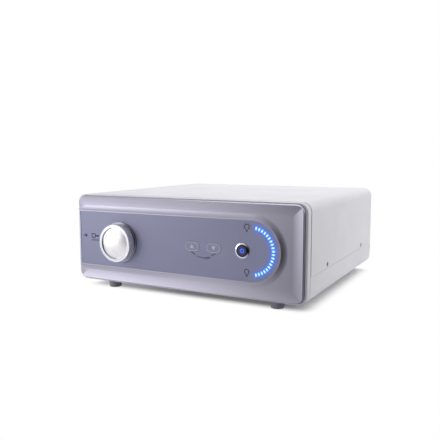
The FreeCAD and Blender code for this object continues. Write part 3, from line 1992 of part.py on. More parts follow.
main_left = supply_side - S.main_step
main_low = floor_top + S.main_post
main_top = main_low + S.board
main_board = box(
    "main_board_plate",
    (main_left, S.main_front, main_low),
    (main_left + S.main_width, S.main_front + S.main_depth, main_top),
)
main_chips = [
    box(
        f"main_chip_{number}",
        (
            main_left + S.main_width / 2 - S.chip_size / 2,
            S.main_front + S.chip_size * 2 * number,
            main_top,
        ),
        (
            main_left + S.main_width / 2 + S.chip_size / 2,
            S.main_front + S.chip_size * (2 * number + 1),
            main_top + S.chip,
        ),
    )
    for number in (1, 2)
]
ribbon_socket = box(
    "main_socket",
    (main_left + S.main_width / 2 - S.socket_length / 2, S.main_front + S.main_post, main_top),
    (
        main_left + S.main_width / 2 + S.socket_length / 2,
        S.main_front + S.main_post + S.socket_width,
        main_top + S.socket_height,
    ),
)
piece("main_board", [fuse("main_board", [main_board, ribbon_socket] + main_chips)])
piece(
    "main_board_posts",
    [
        rod(
            f"main_post_{number}",
            S.main_post_radius,
            (
                main_left + (S.main_post_inset if side < 0 else S.main_width - S.main_post_inset),
                S.main_front + (S.main_post_inset if rise < 0 else S.main_depth - S.main_post_inset),
                floor_top,
            ),
            S.main_post,
            "z",
        )
        for number, (side, rise) in enumerate(
            [(side, rise) for side in (-1, 1) for rise in (-1, 1)], start=1
        )
    ],
)

# Fan frame: square duct with three arms behind that hold the rotor's shaft

fan_front = rear_front - S.fan_depth
fan_half = S.fan_size / 2
hole_half = S.fan_screw_spread / 2
fan_spots = [(side * hole_half, rise * hole_half) for side in (-1, 1) for rise in (-1, 1)]
arm_front = rear_front - S.fan_arm_depth - S.running_gap
fan = Body("fan_frame", (port_side, 0, fan_height))
fan.pad(
    plate(
        fan.sketch("XZ", fan_front), -fan_half, -fan_half, fan_half, fan_half,
        S.guard_lug_radius,
    ),
    S.fan_depth,
    -1,
)
fan.pocket(circle(fan.sketch("XZ", fan_front), 0, 0, S.fan_bore_radius), S.fan_depth)
holes = fan.sketch("XZ", fan_front)
for across, up in fan_spots:
    circle(holes, across, up, S.fan_hole_radius)
fan.pocket(holes, S.fan_depth)
fan.pad(circle(fan.sketch("XZ", arm_front), 0, 0, S.fan_hub_radius), S.fan_arm_depth, -1)
arm = rectangle(
    fan.sketch("XZ", arm_front),
    S.fan_hub_radius - S.fan_arm,
    -S.fan_arm / 2,
    S.fan_bore_radius + S.running_gap,
    S.fan_arm / 2,
)
first_arm = fan.pad(arm, S.fan_arm_depth, -1)
FAN_ARMS = 3
fan.polar(first_arm, FAN_ARMS, spread(FAN_ARMS))
fan.pad(
    circle(fan.sketch("XZ", arm_front), 0, 0, S.fan_shaft_radius), S.fan_shaft_length, 1
)
fan.done()

# Fan rotor: moulded hub with seven pitched blades, bored for the shaft

rotor_back = arm_front - S.running_gap * 2
rotor = Body("fan_rotor", (port_side, 0, fan_height))
rotor.pad(circle(rotor.sketch("XZ", rotor_back), 0, 0, S.fan_hub_radius), S.fan_hub_depth)
rotor.pocket(
    circle(rotor.sketch("XZ", rotor_back), 0, 0, S.fan_shaft_radius + S.fan_shaft_fit),
    S.fan_shaft_length,
    -1,
)
blade_reach = S.fan_hub_depth - S.fan_blade * 2
blade = rotor.sketch("YZ", S.fan_hub_radius - S.fan_blade)
blade_low = rotor_back - S.fan_blade - blade_reach
blade_rise = blade_reach * sine(S.fan_blade_turn)
polygon(
    blade,
    [
        (blade_low, -blade_rise / 2),
        (blade_low + S.fan_blade, -blade_rise / 2),
        (blade_low + blade_reach, blade_rise / 2),
        (blade_low + blade_reach - S.fan_blade, blade_rise / 2),
    ],
)
first_blade = rotor.pad(blade, S.fan_blade_tip - S.fan_hub_radius + S.fan_blade)
BLADES = 7
rotor.polar(first_blade, BLADES, spread(BLADES))
rotor.done()

# Fan guard: chromed wire rings and a cross, with lugs under the fan screws

guard_middle = rear_face + S.guard_wire
ring_count = 4
wires = [
    ring(
        f"guard_ring_{number}",
        S.fan_bore_radius * number / ring_count,
        S.guard_wire,
        (port_side, guard_middle, fan_height),
    )
    for number in range(1, ring_count + 1)
]
lug_reach = hole_half * math.sqrt(2)
for number, turn in enumerate((45, 135), start=1):
    spoke = rod(
        f"guard_spoke_{number}_wire",
        S.guard_wire,
        (-lug_reach, guard_middle, 0),
        lug_reach * 2,
        "x",
    )
    wires.append(
        turned(f"guard_spoke_{number}", spoke, "y", (port_side, 0, fan_height), turn)
    )
for number, (across, up) in enumerate(fan_spots, start=1):
    centre = (port_side + across, rear_face, fan_height + up)
    wires.append(rod(f"guard_lug_{number}", S.guard_lug_radius, centre, S.guard_wire * 2))
lug_holes = [
    rod(
        f"guard_lug_hole_{number}",
        S.fan_hole_radius,
        (port_side + across, rear_face - S.overrun, fan_height + up),
        S.overrun * 2 + S.guard_wire,
    )
    for number, (across, up) in enumerate(fan_spots, start=1)
]
piece("fan_guard", [cut("fan_guard", fuse("guard_wires", wires), lug_holes)])
piece(
    "fan_screws",
    [
        screw(
            f"fan_screw_{number}",
            S.fan_screw_head_radius,
            S.fan_screw_head,
            S.fan_screw_radius,
            S.fan_depth + S.sheet,
            (port_side + across, rear_face + S.guard_wire * 2, fan_height + up),
            "y",
            -1,
        )
        for number, (across, up) in enumerate(fan_spots, start=1)
    ],
)

# Rear panel: steel plate against the pan's rear tab, cut for the fan, the inlet and the stud

inlet_half = S.inlet_body_width / 2
back = Body("rear_panel")
back.pad(
    plate(
        back.sketch("XZ", rear_front),
        S.rear_gap - inner_half,
        floor_top + S.rear_gap,
        inner_half - S.rear_gap,
        S.case_height - S.sheet - S.rear_gap,
        S.case_corner - S.sheet,
    ),
    S.sheet,
    -1,
)
holes = back.sketch("XZ", rear_front)
circle(holes, port_side, fan_height, S.fan_bore_radius)
for across, up in fan_spots:
    circle(holes, port_side + across, fan_height + up, S.fan_hole_radius)
for across, up in rear_screw_spots:
    circle(holes, across, up, S.rear_screw_radius + S.close_fit)
rectangle(
    holes,
    inlet_side - inlet_half - S.rear_gap,
    S.inlet_height - S.inlet_body_height / 2 - S.rear_gap,
    inlet_side + inlet_half + S.rear_gap,
    S.inlet_height + S.inlet_body_height / 2 + S.rear_gap,
)
for way in (-1, 1):
    circle(
        holes,
        inlet_side + way * S.inlet_screw_spread / 2,
        S.inlet_height,
        S.inlet_screw_radius + S.close_fit,
    )
circle(holes, stud_side, S.stud_height, S.stud_radius + S.close_fit)
back.pocket(holes, S.sheet)
back.done()
piece(
    "rear_panel_screws",
    [
        screw(
            f"rear_screw_{number}",
            S.rear_screw_head_radius,
            S.rear_screw_head,
            S.rear_screw_radius,
            S.rear_screw_length,
            (across, rear_face, up),
            "y",
            -1,
        )
        for number, (across, up) in enumerate(rear_screw_spots, start=1)
    ],
)

# Mains inlet: moulded body with a three-pin recess, and a slot above it for the fuse drawer

inlet_front = rear_face - S.inlet_body_depth
inlet_back = rear_face + S.inlet_flange
inlet = Body("mains_inlet", (inlet_side, 0, S.inlet_height))
half_up = S.inlet_body_height / 2
inlet.pad(
    rectangle(inlet.sketch("XZ", inlet_front), -inlet_half, -half_up, inlet_half, half_up),
    S.inlet_body_depth,
    -1,
)
flange_half = S.inlet_flange_width / 2
flange_up = S.inlet_flange_height / 2
inlet.pad(
    plate(
        inlet.sketch("XZ", rear_face),
        -flange_half,
        -flange_up,
        flange_half,
        flange_up,
        S.inlet_screw_head_radius,
    ),
    S.inlet_flange,
    -1,
)
recess_half = S.inlet_recess_width / 2
recess_low = -S.inlet_recess_low
recess_top = recess_low + S.inlet_recess_height
recess_bottom = inlet_back - S.inlet_recess_depth
inlet.pocket(
    rectangle(inlet.sketch("XZ", inlet_back), -recess_half, recess_low, recess_half, recess_top),
    S.inlet_recess_depth,
    -1,
)
prongs = inlet.sketch("XZ", recess_bottom)
prong_middle = (recess_low + recess_top) / 2
for across, rise in ((-1, 0), (0, 1), (1, 0)):
    rectangle(
        prongs,
        across * S.inlet_pin_spread - S.inlet_pin_width / 2,
        prong_middle + rise * S.inlet_pin_width - S.inlet_pin_height / 2,
        across * S.inlet_pin_spread + S.inlet_pin_width / 2,
        prong_middle + rise * S.inlet_pin_width + S.inlet_pin_height / 2,
    )
inlet.pad(prongs, S.inlet_pin_length, -1)
drawer_half = S.drawer_width / 2
drawer_top = S.drawer_low + S.drawer_height
inlet.pocket(
    rectangle(
        inlet.sketch("XZ", inlet_back),
        -drawer_half - S.drawer_gap,
        S.drawer_low - S.drawer_gap,
        drawer_half + S.drawer_gap,
        drawer_top + S.drawer_gap,
    ),
    S.drawer_depth + S.drawer_gap,
    -1,
)
holes = inlet.sketch("XZ", inlet_back)
for way in (-1, 1):
    circle(holes, way * S.inlet_screw_spread / 2, 0, S.inlet_screw_radius + S.close_fit)
inlet.pocket(holes, S.inlet_flange, -1)
inlet.done()
piece(
    "inlet_screws",
    [
        screw(
            f"inlet_screw_{number}",
            S.inlet_screw_head_radius,
            S.inlet_screw_head,
            S.inlet_screw_radius,
            S.inlet_screw_length,
            (inlet_side + way * S.inlet_screw_spread / 2, inlet_back, S.inlet_height),
            "y",
            -1,
        )
        for number, way in enumerate((-1, 1), start=1)
    ],
)

# Fuse drawer: slides out backwards, with two glass fuses in open channels

drawer = Body("fuse_drawer", (inlet_side, 0, S.inlet_height))
drawer_front = inlet_back - S.drawer_depth
drawer.pad(
    rectangle(
        drawer.sketch("XZ", drawer_front), -drawer_half, S.drawer_low, drawer_half, drawer_top
    ),
    S.drawer_depth,
    -1,
)
channels = drawer.sketch("XZ", drawer_front + S.drawer_wall)
fuse_up = S.drawer_low + S.drawer_wall + S.fuse_radius
channel_half = S.fuse_radius + S.drawer_gap
for way in (-1, 1):
    middle = way * S.fuse_spread
    rectangle(
        channels,
        middle - channel_half,
        S.drawer_low + S.drawer_wall,
        middle + channel_half,
        drawer_top + S.overrun,
    )
drawer.pocket(channels, S.fuse_length + S.drawer_gap)
drawer.done()
piece(
    "fuses",
    [
        rod(
            f"fuse_{number}",
            S.fuse_radius,
            (
                inlet_side + way * S.fuse_spread,
                drawer_front + S.drawer_wall + S.drawer_gap / 2,
                S.inlet_height + fuse_up,
            ),
            S.fuse_length,
        )
        for number, way in enumerate((-1, 1), start=1)
    ],
)

# Earth stud: threaded post with a flange outside the rear panel and a nut inside it

stud_post = rod(
    "earth_stud_post",
    S.stud_radius,
    (stud_side, rear_face - S.stud_tail, S.stud_height),
    S.stud_tail + S.stud_reach,
)
stud_nut = rod(
    "earth_stud_nut",
    S.stud_nut_radius,
    (stud_side, rear_front - S.stud_nut, S.stud_height),
    S.stud_nut,
)
stud_flange = rod(
    "earth_stud_flange", S.stud_nut_radius, (stud_side, rear_face, S.stud_height), S.stud_flange
)
piece("earth_stud", [fuse("earth_stud", [stud_post, stud_nut, stud_flange])])

# Checks, then one STEP file for each piece

doc.recompute()
failed = [thing.Name for thing in doc.Objects if {"Invalid", "Error"} & set(thing.State)]
if failed:
    raise RuntimeError(f"failed: {failed}")
for whole in pieces:
    if whole.Shape.isNull() or not whole.Shape.isValid():
        raise RuntimeError(f"no valid shape: {whole.Label}")
labels = [whole.Label for whole in pieces]
if len(set(labels)) != len(labels):
    raise RuntimeError("two pieces share a name")
for whole in pieces:
    whole.Shape.exportStep(f"parts/{whole.Label}.step")
print(len(pieces), "pieces")
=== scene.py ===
import math

import bmesh
import bpy
from mathutils import Euler, Matrix, Vector


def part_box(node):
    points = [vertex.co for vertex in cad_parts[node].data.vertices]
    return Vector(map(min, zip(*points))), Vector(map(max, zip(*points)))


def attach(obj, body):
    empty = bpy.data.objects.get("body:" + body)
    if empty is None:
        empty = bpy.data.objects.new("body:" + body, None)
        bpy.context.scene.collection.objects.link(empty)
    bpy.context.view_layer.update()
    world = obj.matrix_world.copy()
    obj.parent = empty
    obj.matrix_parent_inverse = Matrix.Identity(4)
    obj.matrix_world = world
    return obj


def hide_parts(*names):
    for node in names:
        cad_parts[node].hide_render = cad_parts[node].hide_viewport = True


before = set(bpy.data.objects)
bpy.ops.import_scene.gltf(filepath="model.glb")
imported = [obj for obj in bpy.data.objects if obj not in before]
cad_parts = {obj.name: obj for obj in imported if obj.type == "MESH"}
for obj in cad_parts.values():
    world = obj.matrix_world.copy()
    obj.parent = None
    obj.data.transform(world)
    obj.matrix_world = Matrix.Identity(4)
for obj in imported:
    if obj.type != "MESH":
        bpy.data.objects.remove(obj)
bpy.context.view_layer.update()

# Stage: a pale table under a white sky. The softbox at the near left makes the front panel fall off from
# left to right, a weak one in front lifts its middle, and those above and at the right light the case.


def linear(red, green, blue):
    """A colour as a screen shows it, 0 to 255, as the light it stands for."""

    def channel(value):
        value /= 255
        return value / 12.92 if value <= 0.04045 else ((value + 0.055) / 1.055) ** 2.4

    return (channel(red), channel(green), channel(blue), 1)


class Socket:
    """A value in a graph of nodes. Sums and products of sockets add the Math nodes."""

    def __init__(self, graph, end):
        self.graph = graph
        self.end = end

    def maths(self, operation, *others):
        return self.graph.node("ShaderNodeMath", {"operation": operation}, others)

    def __add__(self, other):
        return self.maths("ADD", self, other)

    def __sub__(self, other):
        return self.maths("SUBTRACT", self, other)

    def __rsub__(self, other):
        return self.maths("SUBTRACT", other, self)

    def __mul__(self, other):
        return self.maths("MULTIPLY", self, other)

    def __truediv__(self, other):
        return self.maths("DIVIDE", self, other)

    def __rtruediv__(self, other):
        return self.maths("DIVIDE", other, self)

    def __pow__(self, other):
        return self.maths("POWER", self, other)

    def __gt__(self, other):
        return self.maths("GREATER_THAN", self, other)

    def __lt__(self, other):
        return self.maths("LESS_THAN", self, other)

    __radd__ = __add__
    __rmul__ = __mul__


class Graph:
    """A tree of nodes that is built from calls: settings first, then the inputs' values or links."""

    def __init__(self, tree):
        self.tree = tree

    def node(self, kind, settings=None, values=(), out=0):
        made = self.tree.nodes.new(kind)
        for word, setting in (settings or {}).items():
            if word != "stops":
                setattr(made, word, setting)
                continue
            ramp = made.color_ramp.elements
            while len(ramp) < len(setting):
                ramp.new(0.5)
            for stop, (place, colour) in zip(ramp, setting):
                stop.position = place
                stop.color = colour
        pairs = values.items() if isinstance(values, dict) else enumerate(values)
        for where, value in pairs:
            self.give(made.inputs[where], value)
        return Socket(self, made.outputs[out]) if made.outputs else None

    def give(self, end, value):
        if isinstance(value, Socket):
            self.tree.links.new(value.end, end)
        else:
            end.default_value = value


scene = bpy.context.scene
scene.view_settings.view_transform = "Standard"

CAMERA_PLACE = (0.4090, -0.8132, 0.2040)
CAMERA_YAW = 27.90
CAMERA_PITCH = -6.76
CAMERA_ROLL = -0.13
lens = bpy.data.cameras.new("camera")
lens.lens = 45.99
lens.sensor_width = 36
camera = bpy.data.objects.new("camera", lens)
camera.location = CAMERA_PLACE
tilt = Euler((math.radians(90 + CAMERA_PITCH), 0, math.radians(CAMERA_YAW)))
spin = Euler((0, 0, math.radians(CAMERA_ROLL)))
camera.rotation_euler = (tilt.to_matrix() @ spin.to_matrix()).to_euler()
scene.collection.objects.link(camera)
scene.camera = camera


def softbox(name, place, aim, width, height, power):
    light = bpy.data.lights.new(name, "AREA")
    light.shape = "RECTANGLE"
    light.size = width
    light.size_y = height
    light.energy = power
    thing = bpy.data.objects.new(name, light)
    thing.location = place
    thing.rotation_euler = (Vector(aim) - Vector(place)).to_track_quat("-Z", "Y").to_euler()
    scene.collection.objects.link(thing)


softbox("softbox_near_left", (-0.78, -0.70, 0.26), (-0.06, -0.16, 0.07), 0.70, 0.60, 3.2)
softbox("softbox_front", (-0.60, -1.05, 0.22), (-0.05, -0.16, 0.07), 0.36, 0.32, 0.75)
softbox("softbox_top", (0.0, 0.36, 1.20), (0.0, 0.05, 0.1), 1.20, 1.05, 9.5)
softbox("softbox_right", (1.15, 0.40, 0.55), (0.1, 0.05, 0.07), 0.80, 0.70, 4.5)

AMBIENT = 0.32
SKY_FRONT = 0.02
SKY_BRIGHT_WAY = (-0.6, 0.8, 0.3)
SKY_DARK_END = -0.95
SKY_BRIGHT_START = -0.05
sky = bpy.data.worlds.new("sky")
sky.use_nodes = True
sky.node_tree.nodes.clear()
graph = Graph(sky.node_tree)
way = graph.node("ShaderNodeTexCoord", out="Generated")
across = graph.node(
    "ShaderNodeVectorMath", {"operation": "DOT_PRODUCT"}, {0: way, 1: SKY_BRIGHT_WAY}, "Value"
)
studio = graph.node(
    "ShaderNodeMapRange",
    {"interpolation_type": "SMOOTHSTEP"},
    {
        "Value": across,
        "From Min": SKY_DARK_END,
        "From Max": SKY_BRIGHT_START,
        "To Min": SKY_FRONT,
        "To Max": 1.0,
    },
)
seen = graph.node("ShaderNodeLightPath", out="Is Camera Ray")
seen = seen + graph.node("ShaderNodeLightPath", out="Is Transmission Ray")
glossy = graph.node("ShaderNodeLightPath", out="Is Glossy Ray")
strength = seen + glossy * studio + (1 - seen - glossy) * studio * AMBIENT
light_out = graph.node("ShaderNodeBackground", None, {"Color": (1, 1, 1, 1), "Strength": strength})
graph.node("ShaderNodeOutputWorld", None, {"Surface": light_out})
scene.world = sky

TABLE_HALF = 6.0
TABLE_LIFT = 0.08
TABLE_LIFT_LEFT = 0.22
TABLE_UNDER = 0.022
TABLE_SHADE = 0.028
TABLE_RIGHT = 0.02
TABLE_SHINE = 1.15
TABLE_SLANT = 0.53
TABLE_DIM_START = 0.10
TABLE_DIM_END = 0.38
TABLE_LEFT_START = 0.02
TABLE_LEFT_END = -0.20
mesh = bpy.data.meshes.new("table")
corners = [(x * TABLE_HALF, y * TABLE_HALF, 0) for x, y in ((-1, -1), (1, -1), (1, 1), (-1, 1))]
mesh.from_pydata(corners, [], [(0, 1, 2, 3)])
table = bpy.data.objects.new("table", mesh)
scene.collection.objects.link(table)


class Finish(Graph):
    """A material: one Principled shader whose sockets take numbers or sockets."""

    def __init__(self, name, **values):
        self.material = bpy.data.materials.new(name)
        self.material.use_nodes = True
        self.material.node_tree.nodes.clear()
        super().__init__(self.material.node_tree)
        self.shader = self.tree.nodes.new("ShaderNodeBsdfPrincipled")
        self.output = self.tree.nodes.new("ShaderNodeOutputMaterial")
        self.tree.links.new(self.shader.outputs[0], self.output.inputs["Surface"])
        self.place = self.node("ShaderNodeTexCoord", out="Object")
        self.set(**values)

    def set(self, **values):
        for word, value in values.items():
            self.give(self.shader.inputs[word.replace("_", " ")], value)

    def noise(self, size, detail=2.0, roughness=0.5, stretch=(1, 1, 1)):
        """Cloudy values about 0.5, with lumps of this size in metres."""
        place = self.place
        if stretch != (1, 1, 1):
            place = self.node("ShaderNodeMapping", None, {"Vector": place, "Scale": stretch})
        values = {"Vector": place, "Scale": 1 / size, "Detail": detail, "Roughness": roughness}
        return self.node("ShaderNodeTexNoise", None, values)

    def mix(self, share, first, second):
        """From the first colour to the second, by a share."""
        values = {0: share, 6: first, 7: second}
        return self.node("ShaderNodeMix", {"data_type": "RGBA"}, values, out=2)

    def ramp(self, value, start, finish):
        """0 at start, 1 at finish and smooth between them."""
        values = {"Value": value, "From Min": start, "From Max": finish}
        return self.node("ShaderNodeMapRange", {"interpolation_type": "SMOOTHSTEP"}, values)

    def split(self):
        """The three coordinates of the place."""
        apart = self.node("ShaderNodeSeparateXYZ", None, {0: self.place})
        return [Socket(self, apart.end.node.outputs[axis]) for axis in range(3)]

    def reach(self, x, z):
        """How far a place is from a line that runs from front to back through (x, z)."""
        across, _, up = self.split()
        return ((across - x) ** 2.0 + (up - z) ** 2.0) ** 0.5

    def bump(self, height, depth):
        self.set(Normal=self.node("ShaderNodeBump", None, {"Height": height, "Distance": depth}))


def shade(colour, share):
    return tuple(min(1, channel * share) for channel in colour[:3]) + (1,)


TABLE_COLOUR = linear(243, 243, 245)
paper = Finish("table_paper", Roughness=0.9, Specular_IOR_Level=0.0)
paper.set(Base_Color=paper.mix(paper.noise(0.05), shade(TABLE_COLOUR, 0.99), TABLE_COLOUR))
to_camera, passed, mirrored = (
    paper.node("ShaderNodeLightPath", out=f"Is {ray} Ray") for ray in ("Camera", "Transmission", "Glossy")
)
watched = to_camera + passed + mirrored
along, depth, _ = paper.split()
# To glossy rays the table shows brighter than white and darkens towards the right front: a painted
# reflection that keeps the front panel's right end dark.
rightward = paper.ramp(along - depth * TABLE_SLANT, TABLE_DIM_START, TABLE_DIM_END)
dim = mirrored * rightward * (TABLE_SHINE - TABLE_RIGHT)
shine = 1 + mirrored * (TABLE_SHINE - 1) - dim
white = paper.node("ShaderNodeEmission", None, {"Color": (1, 1, 1, 1), "Strength": shine})
paper_shader = Socket(paper, paper.shader.outputs[0])
low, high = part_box("base_pan")
beyond = []
for place, start, end in ((along, low.x, high.x), (depth, low.y, high.y)):
    middle, half = (start + end) / 2, (end - start) / 2 - TABLE_UNDER
    past = paper.node("ShaderNodeMath", {"operation": "ABSOLUTE"}, (place - middle,)) - half
    beyond.append(paper.node("ShaderNodeMath", {"operation": "MAXIMUM"}, (past, 0)))
clear = (beyond[0] ** 2.0 + beyond[1] ** 2.0) ** 0.5
# The white lift starts inside the pan's outline and is stronger to the case's left: painted light that
# makes the case's shadow lighter at its edges and on its left.
least = paper.ramp(along, TABLE_LEFT_START, TABLE_LEFT_END) * TABLE_LIFT_LEFT + TABLE_LIFT
lift = paper.ramp(clear, 0, TABLE_SHADE) * (1 - least) + least
lifted = paper.node("ShaderNodeMixShader", None, {0: watched * lift, 1: paper_shader, 2: white})
paper.give(paper.output.inputs["Surface"], lifted)
table.data.materials.append(paper.material)

# Base pan: 1.5 mm steel sheet folded into a floor with low sides, joggled where the cover laps over it,
# and powder coated white all over. Everything else is screwed to it.


def powder_coat(name, colour):
    """Satin powder coat: orange peel, faint clouds and a fine grain."""
    coat = Finish(name, Specular_IOR_Level=0.35, Coat_Roughness=0.3)
    clouds = coat.ramp(coat.noise(0.06, 3), 0.3, 0.7)
    grain = coat.noise(0.0006, 1)
    tone = clouds * 0.6 + grain * 0.4
    coat.set(
        Base_Color=coat.mix(tone, shade(colour, 0.955), shade(colour, 1.02)),
        Roughness=grain * 0.12 + 0.46,
        Coat_Weight=clouds * 0.15,
    )
    coat.bump(coat.noise(0.0011, 2), 0.00004)
    return coat


def dress(finish, *nodes):
    for node in nodes:
        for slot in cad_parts[node].material_slots:
            slot.material = finish.material


WHITE_PAINT = linear(228, 228, 233)
white_coat = powder_coat("white_powder_coat", WHITE_PAINT)
dress(white_coat, "base_pan")

# Rear panel: steel plate in a slightly greyer coat, screwed to the pan's rear tab. Nickel-plated screws
# with a cross recess hold it; the tree sets one on each vertex, each stopped at its own turn.

GREY_PAINT = linear(208, 208, 214)
dress(powder_coat("grey_powder_coat", GREY_PAINT), "rear_panel")


def brushed(name, colour, grain_size, roughness, stretch=(1, 1, 1)):
    """Bare or plated metal with a fine grain, drawn out along an axis by stretch."""
    metal = Finish(name, Metallic=1.0)
    grain = metal.noise(grain_size, 3, 0.6, stretch)
    stain = metal.noise(grain_size * 30, 2)
    metal.set(
        Base_Color=metal.mix(grain * 0.5 + stain * 0.5, shade(colour, 0.82), shade(colour, 1.12)),
        Roughness=(grain - 0.5) * 0.22 + roughness,
    )
    metal.bump(grain, 0.000012)
    return metal


nickel = brushed("nickel_plated_steel", linear(176, 176, 180), 0.0004, 0.30)


def link_mesh(name, mesh):
    thing = bpy.data.objects.new(name, mesh)
    scene.collection.objects.link(thing)
    return thing


def mesh_from(name, made, limit=35):
    """A mesh whose faces point outwards, smooth except at edges sharper than the limit in degrees."""
    bmesh.ops.recalc_face_normals(made, faces=made.faces)
    for face in made.faces:
        face.smooth = True
    for edge in made.edges:
        edge.smooth = len(edge.link_faces) == 2 and edge.calc_face_angle(0) < math.radians(limit)
    mesh = bpy.data.meshes.new(name)
    made.to_mesh(mesh)
    made.free()
    return mesh


def turned(made, profile, sides, middle=(0, 0, 0)):
    """Adds a form turned about Z from a profile of (radius, height) that starts and ends on the axis."""
    rings = []
    for radius, height in profile:
        count = sides if radius else 1
        turns = [2 * math.pi * side / count for side in range(count)]
        places = [Vector((radius * math.cos(turn), radius * math.sin(turn), height)) for turn in turns]
        rings.append([made.verts.new(place + Vector(middle)) for place in places])
    for low, high in zip(rings, rings[1:]):
        for side in range(sides):
            after = (side + 1) % sides
            if len(low) == 1:
                made.faces.new((low[0], high[after], high[side]))
            elif len(high) == 1:
                made.faces.new((low[side], low[after], high[0]))
            else:
                made.faces.new((low[side], low[after], high[after], high[side]))


def plain(thing, name):
    """The object with its modifiers worked out into a plain mesh."""
    graph = bpy.context.evaluated_depsgraph_get()
    mesh = bpy.data.meshes.new_from_object(thing.evaluated_get(graph), depsgraph=graph)
    mesh.name = name
    bpy.data.objects.remove(thing)
    return link_mesh(name, mesh)


def declare(thing, body, slot, *replaced):
    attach(thing, body)
    if replaced:
        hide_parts(*replaced)


SCREW_SIDES = 32
RECESS_REACH_SHARE = 0.62
RECESS_HALF_SHARE = 0.17
RECESS_DEPTH_SHARE = 0.62


def screw_shape(head_radius, head, shank_radius, length):
    """A pan-head screw: the head stands up from the origin, and the shank hangs below it."""
    blank = bmesh.new()
    profile = [
        (0, -length),
        (shank_radius * 0.6, -length),
        (shank_radius, -length + shank_radius * 0.5),
        (shank_radius, 0),
        (head_radius, 0),
        (head_radius, head * 0.45),
        (head_radius * 0.94, head * 0.75),
        (head_radius * 0.80, head * 0.94),
        (head_radius * 0.60, head),
        (0, head),
    ]
    turned(blank, profile, SCREW_SIDES)
    screw = link_mesh("screw", mesh_from("screw", blank))
    cross = bmesh.new()
    for turn in (0, math.pi / 2):
        bar = bmesh.ops.create_cube(cross, size=1)["verts"]
        for corner in bar:
            low = corner.co.z < 0
            reach = head_radius * RECESS_REACH_SHARE * (0.5 if low else 1)
            half = head_radius * RECESS_HALF_SHARE * (0.7 if low else 1)
            up = head * (1 - RECESS_DEPTH_SHARE) if low else head * 1.3
            corner.co = (math.copysign(reach, corner.co.x), math.copysign(half, corner.co.y), up)
        bmesh.ops.rotate(cross, verts=bar, matrix=Matrix.Rotation(turn, 3, "Z"))
    recess = link_mesh("recess", mesh_from("recess", cross))
    carve = screw.modifiers.new("recess", "BOOLEAN")
    carve.operation = "DIFFERENCE"
    carve.solver = "EXACT"
    carve.use_self = True
    carve.object = recess
    screw = plain(screw, "screw")
    bpy.data.objects.remove(recess)
    return screw


def geometry_tree(name, inputs):
    """An empty geometry tree with named inputs, and the sockets that give them."""
    tree = bpy.data.node_groups.new(name, "GeometryNodeTree")
    tree.interface.new_socket("Geometry", in_out="OUTPUT", socket_type="NodeSocketGeometry")
    tree.interface.new_socket("Geometry", in_out="INPUT", socket_type="NodeSocketGeometry")
    for word, kind in inputs.items():
        tree.interface.new_socket(word, in_out="INPUT", socket_type=f"NodeSocket{kind}")
    graph = Graph(tree)
    entry = tree.nodes.new("NodeGroupInput")
    return graph, {end.name: Socket(graph, end) for end in entry.outputs if end.name}


def run_tree(name, holder, graph, **values):
    """Works a tree out on a holder with these inputs, and gives the plain mesh object."""
    modifier = holder.modifiers.new("tree", "NODES")
    modifier.node_group = graph.tree
    for item in graph.tree.interface.items_tree:
        if item.in_out == "INPUT" and item.name in values:
            modifier[item.identifier] = values[item.name]
    return plain(holder, name)


inputs = {"Piece": "Object", "Finish": "Material", "Spin": "Float", "Seed": "Int"}
repeat, given = geometry_tree("pieces_on_places", inputs)
one = repeat.node("GeometryNodeObjectInfo", None, {"Object": given["Piece"]}, out="Geometry")
turn = repeat.node("GeometryNodeInputNamedAttribute", {"data_type": "FLOAT_VECTOR"}, {"Name": "turn"})
size = repeat.node("GeometryNodeInputNamedAttribute", {"data_type": "FLOAT_VECTOR"}, {"Name": "size"})
many = repeat.node(
    "GeometryNodeInstanceOnPoints",
    None,
    {"Points": given["Geometry"], "Instance": one, "Rotation": turn, "Scale": size},
)
least = given["Spin"] * -1.0
chance = repeat.node(
    "FunctionNodeRandomValue",
    {"data_type": "FLOAT"},
    {2: least, 3: given["Spin"], "Seed": given["Seed"]},
    out=1,
)
about = repeat.node("ShaderNodeCombineXYZ", None, {"Z": chance})
many = repeat.node(
    "GeometryNodeRotateInstances", None, {"Instances": many, "Rotation": about, "Local Space": True}
)
real = repeat.node("GeometryNodeRealizeInstances", None, {0: many})
coated = repeat.node("GeometryNodeSetMaterial", None, {"Geometry": real, "Material": given["Finish"]})
repeat.node("NodeGroupOutput", None, {0: coated})


def repeated(name, shape, finish, places, turns, sizes=None, spin=0.0, seed=1):
    """One plain object with a shape on each place, with its own turn and size."""
    mesh = bpy.data.meshes.new(name)
    mesh.from_pydata([tuple(place) for place in places], [], [])
    sizes = sizes or [(1, 1, 1)] * len(places)
    for word, rows in (("turn", turns), ("size", sizes)):
        values = mesh.attributes.new(word, "FLOAT_VECTOR", "POINT")
        values.data.foreach_set("vector", [part for row in rows for part in row])
    holder = link_mesh(name, mesh)
    thing = run_tree(name, holder, repeat, Piece=shape, Finish=finish.material, Spin=spin, Seed=seed)
    bpy.data.objects.remove(shape)
    return thing


def screws(node, sizes, places, way, seed):
    """Screws in place of a CAD node's, their heads seated on the places and facing one way."""
    turn = tuple(Vector(way).to_track_quat("Z", "Y").to_euler())
    turns = [turn] * len(places)
    shape = screw_shape(*sizes)
    thing = repeated(f"{node}_look", shape, nickel, places, turns, spin=math.pi / 4, seed=seed)
    declare(thing, "chassis", "steel_screw", node)


MM = 0.001
BEZEL_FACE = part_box("front_bezel")[0].y + 3.0 * MM
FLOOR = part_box("base_pan")[0].z
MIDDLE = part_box("power_button")[0].lerp(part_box("power_button")[1], 0.5).z


def at(x, y, z):
    """A point in millimetres: along from the middle, back from the bezel, up from the case's floor."""
    return Vector((x * MM, BEZEL_FACE + y * MM, FLOOR + z * MM))


M3_PAN = (2.8 * MM, 1.8 * MM, 1.45 * MM, 4.9 * MM)
BACK = (0, 1, 0)
REAR_FACE = 328
REAR_SCREW_Z = 12.5
screws("rear_panel_screws", M3_PAN, [at(x, REAR_FACE, REAR_SCREW_Z) for x in (-160, 0, 160)], BACK, 3)

# Fan: moulded duct and rotor behind a chromed wire guard, which the four long screws hold
# against the panel.


